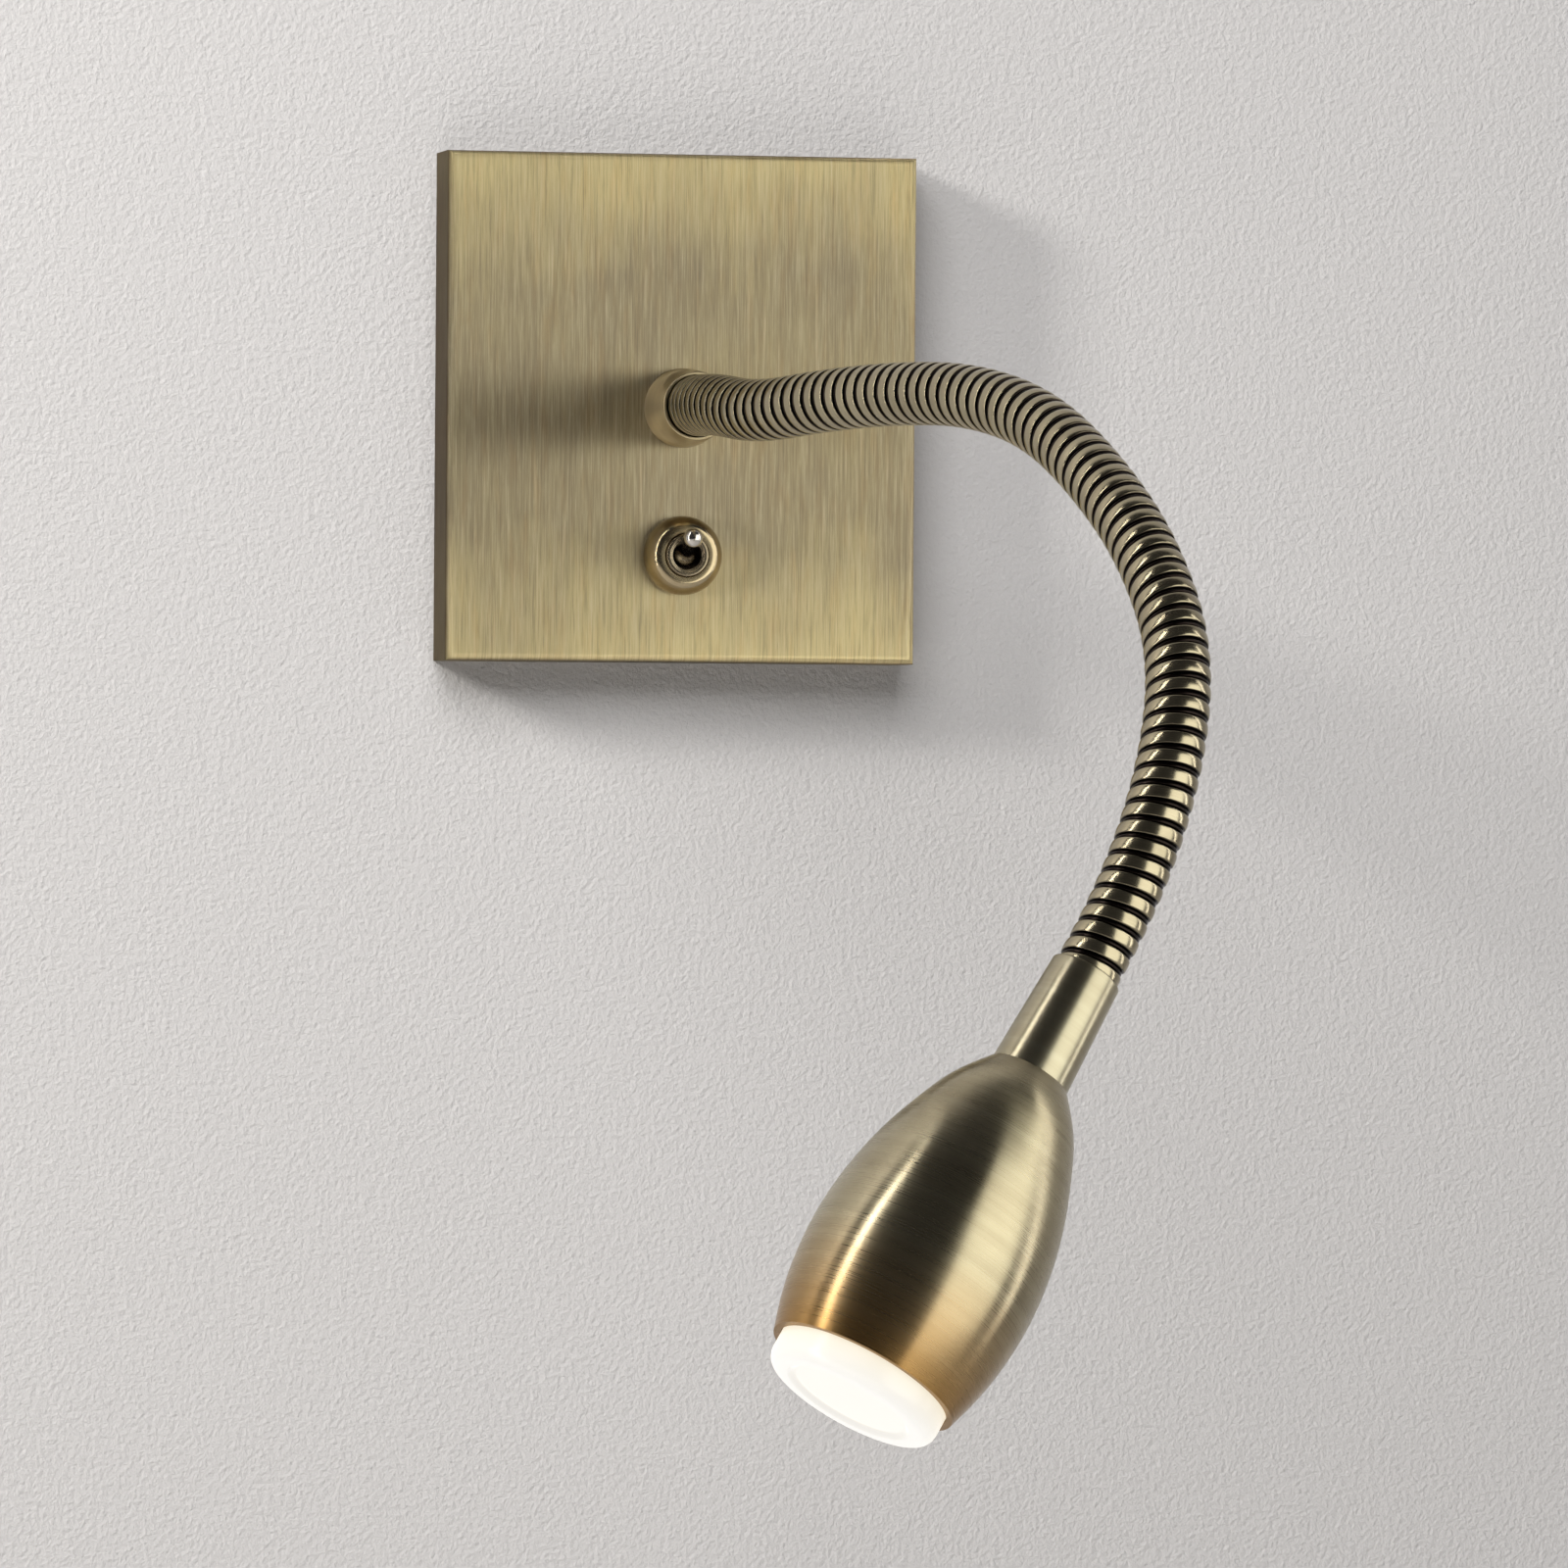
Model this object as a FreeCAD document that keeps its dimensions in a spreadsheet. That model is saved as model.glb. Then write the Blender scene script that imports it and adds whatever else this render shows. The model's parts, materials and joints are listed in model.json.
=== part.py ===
"""Bedside wall reading lamp: a square wall plate, a toggle switch, a gooseneck arm and a spotlight head.

The wall is the plane Y = 0 and the lamp stands out from it towards -Y. Z is up, X is to the right as
seen from the room, and the origin is on the wall behind the middle of the plate. Sizes are millimetres.
"""

import FreeCAD, Part
import Sketcher
import math
import os
import re

Vector = FreeCAD.Vector
Placement = FreeCAD.Placement
Rotation = FreeCAD.Rotation

OUT = Vector(0, -1, 0)
UP = Vector(0, 0, 1)
RIGHT = Vector(1, 0, 0)
ORIGIN = Vector(0, 0, 0)
TO_ROOM = Rotation(UP, OUT)

# every driving size, as a word and its value
SIZES = {
    # wall plate: a folded pan of sheet brass
    "plate_width": 94.0,
    "plate_height": 100.0,
    "plate_depth": 14.0,
    "plate_sheet": 1.2,
    "plate_bend": 1.8,
    # steel bracket behind it
    "bracket_sheet": 1.5,
    "bar_side": 9.0,
    "bar_height": 32.0,
    "strap_width": 18.0,
    "wall_screw_spacing": 60.0,
    "slot_length": 12.0,
    "slot_width": 4.5,
    "cable_hole_dia": 18.0,
    "ear_reach": 10.0,
    "cover_screw_dia": 3.0,
    "cover_screw_length": 6.0,
    "cover_screw_out": 6.0,
    # ring that the arm comes out of
    "collar_length": 14.0,
    "collar_lip": 0.6,
    "collar_flare": 1.1,
    "socket_depth": 8.0,
    # hollow threaded nipples and what clamps them
    "nipple_dia": 10.0,
    "nipple_bore": 7.0,
    "nipple_inside": 6.5,
    "nipple_grip": 5.5,
    "nipple_relief": 2.0,
    "nut_flats": 14.0,
    "nut_height": 3.0,
    "washer_dia": 16.0,
    "washer_thickness": 0.8,
    # gooseneck
    "flex_dia": 12.0,
    "flex_bore": 6.0,
    "flex_pitch": 3.5,
    "flex_groove_width": 0.5,
    "flex_groove_depth": 0.6,
    "flex_shoulder": 0.25,
    "flex_end_lip": 0.3,
    "turns_per_link": 7,
    "flex_straight": 4.0,
    "bend_each_way": 24.0,
    "bend_clearance": 3.0,
    "lead_dia": 4.4,
    "lead_gap": 0.5,
    # toggle switch
    "switch_drop": 29.0,
    "switch_width": 16.0,
    "switch_length": 20.0,
    "switch_behind": 3.8,
    "switch_gap": 0.5,
    "bushing_dia": 8.3,
    "bushing_bore": 5.8,
    "bushing_rise": 5.9,
    "bushing_floor": 1.5,
    "back_nut_flats": 12.0,
    "back_nut_height": 2.0,
    "switch_washer_dia": 12.0,
    "switch_washer_thickness": 0.6,
    "dress_nut_dia": 15.6,
    "dress_nut_height": 4.9,
    "dress_nut_rim_dia": 11.0,
    "lever_pivot_rise": 2.0,
    "lever_reach": 9.5,
    "lever_ball_dia": 4.6,
    "lever_dia": 2.3,
    "lever_tip_dia": 3.8,
    "lever_tilt": 20.0,
    "trunnion_dia": 1.6,
    "trunnion_length": 7.2,
    "tag_length": 4.0,
    "tag_width": 2.4,
    "tag_thickness": 0.8,
    "tag_spacing": 8.0,
    "tag_rise": 3.0,
    # driver and terminals inside the plate
    "driver_width": 60.0,
    "driver_height": 20.0,
    "driver_clear": 2.5,
    "driver_wall": 1.2,
    "driver_above": 9.0,
    "driver_gap": 0.3,
    "driver_board_gap": 0.5,
    "driver_board_lift": 0.2,
    "block_width": 9.0,
    "block_below": 6.0,
    "block_clear": 2.0,
    "block_left": 22.0,
    "block_screw_dia": 2.6,
    "block_screw_height": 2.4,
    "block_screw_sunk": 3.0,
    "earth_screw_dia": 3.5,
    "earth_screw_x": 17.0,
    "earth_screw_drop": 10.0,
    "earth_screw_head": 2.0,
    "earth_screw_back": 0.2,
    "wire_dia": 1.8,
    "wire_gap": 0.1,
    # head
    "neck_length": 22.0,
    "neck_lip": 0.5,
    "neck_flare": 0.8,
    "neck_round": 1.0,
    "shell_length": 63.0,
    "shell_wall": 1.2,
    "shell_top_wall": 2.0,
    "head_nipple_reach": 14.0,
    "stem_dia": 13.0,
    "stem_start": 7.0,
    "rim_depth": 9.0,
    "sink_plate": 4.0,
    "fin_count": 5,
    "fin_inset": 2.0,
    "fin_thickness": 1.6,
    "fin_spacing": 5.0,
    "board_dia": 26.0,
    "board_thickness": 1.2,
    "emitter_dia": 11.0,
    "emitter_height": 0.8,
    "board_screw_dia": 2.5,
    "board_screw_height": 1.4,
    "board_screw_circle": 20.0,
    "seal_thickness": 1.0,
    "diffuser_dia": 32.6,
    "diffuser_wall": 2.0,
    "diffuser_proud": 5.5,
    "diffuser_round": 2.6,
    "diffuser_land": 2.2,
    "diffuser_dish_depth": 0.8,
    # clearances
    "slip": 0.1,
    "thread_slip": 0.05,
}

# which way the arm heads at each bend, in degrees: to the right of straight out, then below level
ARM_HEADINGS = [
    (0, 0),
    (8, 6),
    (19, -4),
    (23, -2),
    (21, 2),
    (19, 12),
    (16, 27),
    (14, 35),
    (8, 48),
    (-24, 62),
    (-57, 64),
    (-68, 56),
]

# outline of the head shell: how far along the head, and its radius there, both scaled to the sizes
SHELL_OUTLINE = [
    (0, 7.6),
    (7, 12.6),
    (13, 15.3),
    (20, 17.86),
    (29, 20.1),
    (39, 21.24),
    (50, 20.74),
    (57, 19.45),
    (63, 17.7),
]


doc = FreeCAD.newDocument("reading_lamp")
sheet = doc.addObject("Spreadsheet::Sheet", "sizes")
for row, (word, amount) in enumerate(SIZES.items(), 1):
    sheet.set(f"A{row}", word)
    sheet.set(f"B{row}", str(amount))
    sheet.setAlias(f"B{row}", word)
doc.recompute()

pieces = {}


def size(word):
    """The value of one size in the sheet."""
    return float(getattr(sheet, word))


def bound(text):
    """An expression in which each size's word points at its cell."""
    return re.sub(r"[a-z_]+", lambda found: f"sizes.{found[0]}" if found[0] in SIZES else found[0], text)


def worth(text):
    """What an expression on the sizes comes to."""
    return float(sheet.evalExpression(bound(text)))


def bind(thing, **fields):
    """Tie each property of an object to an expression on the sizes."""
    for field, text in fields.items():
        thing.setExpression(field.replace("__", "."), bound(text))


def place(thing, x="0", out="0", up="0", turned=None):
    """Put an object at a place given by expressions: right, out from the wall, and up."""
    if turned is not None:
        thing.Placement = Placement(ORIGIN, turned)
    thing.setExpression("Placement.Base.x", bound(x))
    thing.setExpression("Placement.Base.y", bound(f"-1 * ( {out} )"))
    thing.setExpression("Placement.Base.z", bound(up))


def keep(label, thing):
    """Take an object as the sub-part of this name."""
    thing.Label = label
    pieces[label] = thing
    return thing


def box(name, x, y, z, at):
    """A block of x wide, y deep into the room and z high; at is its left, wall-side, lower corner."""
    thing = doc.addObject("Part::Box", name)
    bind(thing, Length=x, Width=z, Height=y)
    place(thing, *at, turned=TO_ROOM)
    return thing


def rod(name, radius, length, at, turned=TO_ROOM):
    """A cylinder, pointing into the room unless it is turned."""
    thing = doc.addObject("Part::Cylinder", name)
    bind(thing, Radius=radius, Height=length)
    place(thing, *at, turned=turned)
    return thing


def hexagon(name, flats, length, at):
    """A hexagonal prism that points into the room, by its width across flats."""
    thing = doc.addObject("Part::Prism", name)
    thing.Polygon = 6
    bind(thing, Circumradius=f"( {flats} ) / sqrt(3)", Height=length)
    place(thing, *at, turned=TO_ROOM)
    return thing


def fuse(name, things):
    """One solid of several that meet."""
    thing = doc.addObject("Part::MultiFuse", name)
    thing.Shapes = things
    thing.Refine = True
    return thing


def cut(name, base, tools):
    """A solid less one tool, or less several joined as one."""
    thing = doc.addObject("Part::Cut", name)
    thing.Base = base
    thing.Tool = tools[0] if len(tools) == 1 else fuse(f"{name}_tools", tools)
    return thing


def plane_of(body, role):
    """One of a body's own origin planes."""
    return next(f for f in body.Origin.OriginFeatures if f.Role == role)


def outline(body, role, corners, name="outline"):
    """A closed sketch whose every corner is tied to the sizes."""
    sketch = body.newObject("Sketcher::SketchObject", f"{body.Name}_{name}")
    sketch.AttachmentSupport = [(plane_of(body, role), "")]
    sketch.MapMode = "FlatFace"
    spots = [(worth(a), worth(b)) for a, b in corners]
    count = len(spots)
    for i, (a, b) in enumerate(spots):
        c, d = spots[(i + 1) % count]
        sketch.addGeometry(Part.LineSegment(Vector(a, b, 0), Vector(c, d, 0)), False)
    for i in range(count):
        sketch.addConstraint(Sketcher.Constraint("Coincident", i, 2, (i + 1) % count, 1))
    for i, ((a, b), (across, along)) in enumerate(zip(spots, corners)):
        for kind, number, text in (("DistanceX", a, across), ("DistanceY", b, along)):
            row = sketch.addConstraint(Sketcher.Constraint(kind, -1, 1, i, 1, number))
            if number:
                sketch.setExpression(f"Constraints[{row}]", bound(text))
    return sketch


def turned(label, corners):
    """A piece turned on a lathe: corners give radius and place along its axis, its own Z."""
    body = doc.addObject("PartDesign::Body", label)
    sketch = outline(body, "XZ_Plane", corners)
    spin = body.newObject("PartDesign::Revolution", f"{label}_spin")
    spin.Profile = sketch
    spin.ReferenceAxis = (sketch, ["V_Axis"])
    spin.Angle = 360
    return keep(label, body)


def solid_of(label, shape):
    """A sub-part whose form is worked out here from the sizes."""
    thing = doc.addObject("Part::Feature", label)
    thing.Shape = shape
    return keep(label, thing)


def axis_frame(start, along):
    """The placement of a turned piece whose own Z runs along a direction from a point."""
    return Placement(start, Rotation(UP, along))


# wall plate -----------------------------------------------------------------------------------------
SWITCH_UP = "-1 * switch_drop"
PLATE_INSIDE = "plate_depth - plate_sheet"
BAR_WIDTH = "( plate_width - 2 * bar_side )"


def make_wall_plate():
    """The brass pan: folded sides, rounded front edges, and holes for the arm, switch and screws."""
    body = doc.addObject("PartDesign::Body", "wall_plate_body")
    body.Placement = Placement(ORIGIN, TO_ROOM)
    corners = [("-plate_width / 2", "-plate_height / 2"), ("plate_width / 2", "-plate_height / 2"),
               ("plate_width / 2", "plate_height / 2"), ("-plate_width / 2", "plate_height / 2")]
    pad = body.newObject("PartDesign::Pad", "plate_pad")
    pad.Profile = outline(body, "XY_Plane", corners)
    bind(pad, Length="plate_depth")
    doc.recompute()
    front = [f"Edge{n}" for n, edge in enumerate(pad.Shape.Edges, 1)
             if all(abs(v.Z - size("plate_depth")) < 1e-6 for v in edge.Vertexes)]
    bend = body.newObject("PartDesign::Fillet", "plate_bends")
    bend.Base = (pad, front)
    bind(bend, Radius="plate_bend")
    doc.recompute()
    half_w, half_h = "plate_width / 2 - plate_sheet", "plate_height / 2 - plate_sheet"
    hollow = body.newObject("PartDesign::Pocket", "plate_hollow")
    hollow.Profile = outline(body, "XY_Plane", [(f"-({half_w})", f"-({half_h})"), (half_w, f"-({half_h})"),
                                                (half_w, half_h), (f"-({half_w})", half_h)], "inside")
    bind(hollow, Length=PLATE_INSIDE)
    hollow.Reversed = True
    doc.recompute()
    through = "plate_depth + 2"
    tools = [
        rod("plate_arm_hole", "nipple_dia / 2 + slip", through, ("0", "-1", "0")),
        rod("plate_switch_hole", "bushing_dia / 2 + slip", through, ("0", "-1", SWITCH_UP)),
        rod("plate_screw_holes", "cover_screw_dia / 2", "plate_height + 2",
            ("0", "cover_screw_out", "-plate_height / 2 - 1"), Rotation()),
    ]
    keep("wall_plate", cut("wall_plate_drilled", body, tools))


def make_bracket():
    """The steel cross that is screwed to the wall, with an ear at the top and bottom for the plate."""
    ear_up = "plate_height / 2 - plate_sheet - slip - bracket_sheet"
    bar = box("bracket_bar", BAR_WIDTH, "bracket_sheet", "bar_height",
              (f"-{BAR_WIDTH} / 2", "0", "-bar_height / 2"))
    strap = box("bracket_strap", "strap_width", "bracket_sheet", f"2 * ({ear_up}) + 2 * bracket_sheet",
                ("-strap_width / 2", "0", f"-({ear_up}) - bracket_sheet"))
    ears = [box("bracket_top_ear", "strap_width", "ear_reach", "bracket_sheet",
                ("-strap_width / 2", "0", ear_up)),
            box("bracket_bottom_ear", "strap_width", "ear_reach", "bracket_sheet",
                ("-strap_width / 2", "0", f"-({ear_up}) - bracket_sheet"))]
    tools = [rod("bracket_cable_hole", "cable_hole_dia / 2", "bracket_sheet + 2", ("0", "-1", "0")),
             rod("bracket_screw_holes", "cover_screw_dia / 2", "plate_height",
                 ("0", "cover_screw_out", "-plate_height / 2"), Rotation()),
             rod("bracket_earth_hole", "earth_screw_dia / 2", "bracket_sheet + 2",
                 ("earth_screw_x", "-1", "-earth_screw_drop"))]
    straight = "slot_length - slot_width"
    for side, sign in (("left", "-1"), ("right", "1")):
        middle = f"{sign} * wall_screw_spacing / 2"
        tools.append(box(f"slot_{side}", straight, "bracket_sheet + 2", "slot_width",
                         (f"{middle} - ({straight}) / 2", "-1", "-slot_width / 2")))
        for end in ("-1", "1"):
            tools.append(rod(f"slot_{side}_end", "slot_width / 2", "bracket_sheet + 2",
                             (f"{middle} + {end} * ({straight}) / 2", "-1", "0")))
    keep("wall_bracket", cut("wall_bracket_cut", fuse("bracket_blank", [bar, strap, *ears]), tools))


def make_cover_screws():
    """Two slotted grub screws, flush in the plate's top and bottom edges and threaded through the ears."""
    screws = []
    for name, start in (("top", "plate_height / 2 - cover_screw_length - slip"),
                        ("bottom", "-plate_height / 2 + slip")):
        screws.append(rod(f"cover_screw_{name}", "cover_screw_dia / 2 - thread_slip", "cover_screw_length",
                          ("0", "cover_screw_out", start), Rotation()))
    slots = [box("cover_slot_top", "cover_screw_dia", "plate_sheet / 2", "plate_sheet",
                 ("-cover_screw_dia / 2", "cover_screw_out - plate_sheet / 4",
                  "plate_height / 2 - slip - plate_sheet / 2")),
             box("cover_slot_bottom", "cover_screw_dia", "plate_sheet / 2", "plate_sheet",
                 ("-cover_screw_dia / 2", "cover_screw_out - plate_sheet / 4",
                  "-plate_height / 2 + slip - plate_sheet / 2"))]
    keep("cover_screws", cut("cover_screws_cut", fuse("cover_screw_pair", screws), slots))


def make_collar():
    """The turned brass ring on the plate: threaded behind, with a socket in front for the gooseneck."""
    floor = "collar_length - socket_depth"
    rim = "flex_dia / 2 + slip + collar_lip"
    turned("collar", [
        ("nipple_dia / 2 + thread_slip", "0"),
        (f"{rim} + collar_flare", "0"),
        (f"{rim} + collar_flare", "plate_sheet"),
        (rim, "collar_length"),
        ("flex_dia / 2 + slip", "collar_length"),
        ("flex_dia / 2 + slip", floor),
        ("nipple_dia / 2 + thread_slip", floor),
    ])
    place(pieces["collar"], out="plate_depth", turned=TO_ROOM)


def make_arm_fixing():
    """The hollow nipple through the plate, with its washer and nut inside."""
    turned("arm_nipple", [("nipple_bore / 2", "0"), ("nipple_dia / 2", "0"),
                          ("nipple_dia / 2", "nipple_inside + nipple_grip"),
                          ("nipple_bore / 2", "nipple_inside + nipple_grip")])
    place(pieces["arm_nipple"], out="plate_depth - nipple_inside", turned=TO_ROOM)
    washer_out = f"{PLATE_INSIDE} - washer_thickness"
    washer = rod("arm_washer_blank", "washer_dia / 2", "washer_thickness", ("0", washer_out, "0"))
    keep("arm_washer", cut("arm_washer_cut", washer, [
        rod("arm_washer_hole", "nipple_dia / 2 + slip", "plate_depth", ("0", "1", "0"))]))
    nut = hexagon("arm_nut_blank", "nut_flats", "nut_height", ("0", f"{washer_out} - nut_height", "0"))
    keep("arm_nut", cut("arm_nut_cut", nut, [
        rod("arm_nut_hole", "nipple_dia / 2 + thread_slip", "plate_depth", ("0", "1", "0"))]))


# toggle switch --------------------------------------------------------------------------------------
SWITCH_BACK = "( bracket_sheet + switch_gap )"
SWITCH_FACE = "( plate_depth - plate_sheet - switch_behind )"
PIVOT_OUT = "plate_depth + lever_pivot_rise"


def make_switch():
    """The toggle switch: case, threaded bushing, nuts, washer and terminal tags."""
    keep("switch_body", box("switch_case", "switch_width", f"{SWITCH_FACE} - {SWITCH_BACK}", "switch_length",
                            ("-switch_width / 2", SWITCH_BACK, f"{SWITCH_UP} - switch_length / 2")))
    bushing_length = f"plate_depth + bushing_rise - ({SWITCH_FACE})"
    body = turned("bushing_blank", [("0", "0"), ("bushing_dia / 2", "0"), ("bushing_dia / 2", bushing_length),
                                    ("bushing_bore / 2", bushing_length),
                                    ("bushing_bore / 2", "bushing_floor"), ("0", "bushing_floor")])
    place(body, out=SWITCH_FACE, up=SWITCH_UP, turned=TO_ROOM)
    pieces.pop("bushing_blank")
    across = Rotation(UP, RIGHT)
    pin_hole = rod("bushing_pin_hole", "trunnion_dia / 2 + thread_slip", "bushing_dia + 2",
                   ("-bushing_dia / 2 - 1", PIVOT_OUT, SWITCH_UP), across)
    keep("switch_bushing", cut("bushing_drilled", body, [pin_hole]))
    washer_out = f"{PLATE_INSIDE} - switch_washer_thickness"
    for label, blank, radius_gap in (
        ("switch_washer", rod("switch_washer_blank", "switch_washer_dia / 2", "switch_washer_thickness",
                              ("0", washer_out, SWITCH_UP)), "slip"),
        ("switch_back_nut", hexagon("switch_back_nut_blank", "back_nut_flats", "back_nut_height",
                                    ("0", f"{washer_out} - back_nut_height", SWITCH_UP)), "thread_slip"),
    ):
        hole = rod(f"{label}_hole", f"bushing_dia / 2 + {radius_gap}", "plate_depth", ("0", "1", SWITCH_UP))
        keep(label, cut(f"{label}_cut", blank, [hole]))
    bore = "bushing_dia / 2 + thread_slip"
    turned("switch_dress_nut", [(bore, "0"), ("dress_nut_dia / 2", "0"),
                                ("dress_nut_dia / 2", "dress_nut_height / 4"),
                                ("dress_nut_dia / 2 - dress_nut_height / 8", "dress_nut_height * 0.6"),
                                ("dress_nut_rim_dia / 2", "dress_nut_height"), (bore, "dress_nut_height")])
    place(pieces["switch_dress_nut"], out="plate_depth", up=SWITCH_UP, turned=TO_ROOM)
    tags = [box(f"switch_tag_{side}", "tag_width", "tag_thickness", "tag_length",
                (f"{sign} * tag_spacing / 2 - tag_width / 2", f"{SWITCH_BACK} + tag_rise",
                 f"{SWITCH_UP} + switch_length / 2"))
            for side, sign in (("left", "-1"), ("right", "1"))]
    keep("switch_tags", fuse("switch_tag_pair", tags))


def make_lever():
    """The toggle: a ball on a cross pin, a slim tapered stalk and a rounded tip, tilted up at rest."""
    ball, stalk, tip = size("lever_ball_dia") / 2, size("lever_dia") / 2, size("lever_tip_dia") / 2
    reach = size("lever_reach")
    shape = Part.makeSphere(ball)
    shape = shape.fuse(Part.makeCone(stalk, tip * 0.92, reach, ORIGIN, UP))
    shape = shape.fuse(Part.makeSphere(tip, Vector(0, 0, reach)))
    half = size("trunnion_length") / 2
    pin = Part.makeCylinder(size("trunnion_dia") / 2, 2 * half, Vector(-half, 0, 0), RIGHT)
    shape = shape.fuse(pin).removeSplitter()
    lever = solid_of("switch_lever", shape)
    tilt = math.radians(size("lever_tilt"))
    lever.Placement = axis_frame(Vector(0, -worth(PIVOT_OUT), worth(SWITCH_UP)),
                                 Vector(0, -math.cos(tilt), math.sin(tilt)))


# driver, terminals and wires ------------------------------------------------------------------------
DRIVER_DEPTH = "( plate_depth - plate_sheet - bracket_sheet - driver_gap - driver_clear )"
DRIVER_BOTTOM = "( plate_height / 2 - driver_above - driver_height )"
BLOCK_DEPTH = "( plate_depth - plate_sheet - bracket_sheet - driver_gap - block_clear )"
BLOCK_HEIGHT = f"( 2 * ( {DRIVER_BOTTOM} - block_below ) )"


def make_driver():
    """The lamp's supply: a moulded case, its lid, and the board between them."""
    low = "bracket_sheet + driver_gap"
    board_in = "driver_wall + driver_board_gap"
    outside = box("driver_outside", "driver_width", f"{DRIVER_DEPTH} - driver_wall", "driver_height",
                  ("-driver_width / 2", low, DRIVER_BOTTOM))
    inside = box("driver_inside", "driver_width - 2 * driver_wall", DRIVER_DEPTH,
                 "driver_height - 2 * driver_wall",
                 ("-driver_width / 2 + driver_wall", f"{low} + driver_wall", f"{DRIVER_BOTTOM} + driver_wall"))
    keep("driver_case", cut("driver_case_cut", outside, [inside]))
    keep("driver_lid", box("driver_lid_plate", "driver_width", "driver_wall", "driver_height",
                           ("-driver_width / 2", f"{low} + {DRIVER_DEPTH} - driver_wall", DRIVER_BOTTOM)))
    keep("driver_board", box("driver_board_plate", f"driver_width - 2 * ({board_in})", "board_thickness",
                             f"driver_height - 2 * ({board_in})",
                             (f"-driver_width / 2 + {board_in}", f"{low} + driver_wall + driver_board_lift",
                              f"{DRIVER_BOTTOM} + {board_in}")))


def make_terminals():
    """A three-way block for the house wires, its screws, and the earth screw on the bracket."""
    low = "bracket_sheet + driver_gap"
    blank = box("block_blank", "block_width", BLOCK_DEPTH, BLOCK_HEIGHT,
                ("-block_left", low, f"-{BLOCK_HEIGHT} / 2"))
    wells, screws = [], []
    for n, up in enumerate((f"-{BLOCK_HEIGHT} / 3", "0", f"{BLOCK_HEIGHT} / 3")):
        spot = ("-block_left + block_width / 2", f"{low} + {BLOCK_DEPTH} - block_screw_sunk", up)
        wells.append(rod(f"block_well_{n}", "block_screw_dia / 2 + slip", "block_screw_sunk + 1", spot))
        screws.append(rod(f"block_screw_{n}", "block_screw_dia / 2", "block_screw_height", spot))
    keep("terminal_block", cut("terminal_block_cut", blank, wells))
    keep("terminal_screws", fuse("block_screw_set", screws))
    shank = ("earth_screw_x", "earth_screw_back", "-earth_screw_drop")
    head = ("earth_screw_x", "bracket_sheet + thread_slip", "-earth_screw_drop")
    keep("earth_screw", fuse("earth_screw_whole", [
        rod("earth_screw_shank", "earth_screw_dia / 2 - thread_slip", "bracket_sheet + earth_screw_head / 2", shank),
        rod("earth_screw_head", "earth_screw_dia", "earth_screw_head", head)]))


def routed(points, radius, bend=None):
    """A round wire along straight runs joined by arcs, of a stated bend or as large as the runs allow."""
    points = [Vector(*p) for p in points]
    edges, start, radii = [], points[0], []
    for before, corner, after in zip(points, points[1:], points[2:]):
        back, on = (before - corner).normalize(), (after - corner).normalize()
        half = (math.pi - back.getAngle(on)) / 2
        trim = 0.45 * min(before.distanceToPoint(corner), corner.distanceToPoint(after))
        trim = trim if bend is None else min(trim, bend * math.tan(half))
        radii.append(trim / math.tan(half))
        first, last = corner + back * trim, corner + on * trim
        inward = (back + on).normalize()
        middle = corner + inward * (radii[-1] / math.cos(half) - radii[-1])
        edges += [Part.LineSegment(start, first).toShape(), Part.Arc(first, middle, last).toShape()]
        start = last
    edges.append(Part.LineSegment(start, points[-1]).toShape())
    path = Part.Wire(edges)
    ring = Part.Wire([Part.makeCircle(radius, points[0], (points[1] - points[0]).normalize())])
    return path.makePipeShell([ring], True, False), radii


def make_wires():
    """The single wires inside the plate, each along its own route."""
    wire = size("wire_dia") / 2
    block_side = worth("-block_left + block_width + wire_gap")
    block_high = worth(BLOCK_HEIGHT)
    tag_top = worth("-1 * switch_drop + switch_length / 2 + tag_length + wire_gap")
    driver_foot = worth(f"{DRIVER_BOTTOM} - wire_gap")
    screw_top = -worth("bracket_sheet + thread_slip + earth_screw_head + wire_gap / 2")
    earth_x, earth_up = size("earth_screw_x"), -size("earth_screw_drop")
    live_up, neutral_up, earth_row = -block_high / 2 + 6.5, block_high / 3, -block_high / 2 + 2.5
    side = size("tag_spacing") / 2
    routes = {
        "live_wire": [(block_side, -5.4, live_up), (-side, -5.4, live_up), (-side, -5.4, tag_top)],
        "switched_wire": [(side, -5.4, tag_top), (side, -5.4, -8), (13, -5.4, 4), (13, -5.4, driver_foot)],
        "neutral_wire": [(block_side, -6, neutral_up), (-8, -6, neutral_up), (-8, -6, driver_foot)],
        "earth_wire": [(block_side, -8.5, earth_row), (6, -8.5, earth_row), (earth_x, -8.5, earth_up),
                       (earth_x, screw_top, earth_up)],
    }
    for label, route in routes.items():
        shape, radii = routed(route, wire)
        solid_of(label, shape)
        print(label, "radii", [round(r, 1) for r in radii])


# gooseneck ------------------------------------------------------------------------------------------
LINK_COUNT = len(ARM_HEADINGS) - 1


def heading(right, below):
    """The direction that turns this far to the right of straight out and dips this far below level."""
    a, b = math.radians(right), math.radians(below)
    return Vector(math.sin(a) * math.cos(b), -math.cos(a) * math.cos(b), -math.sin(b))


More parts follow.
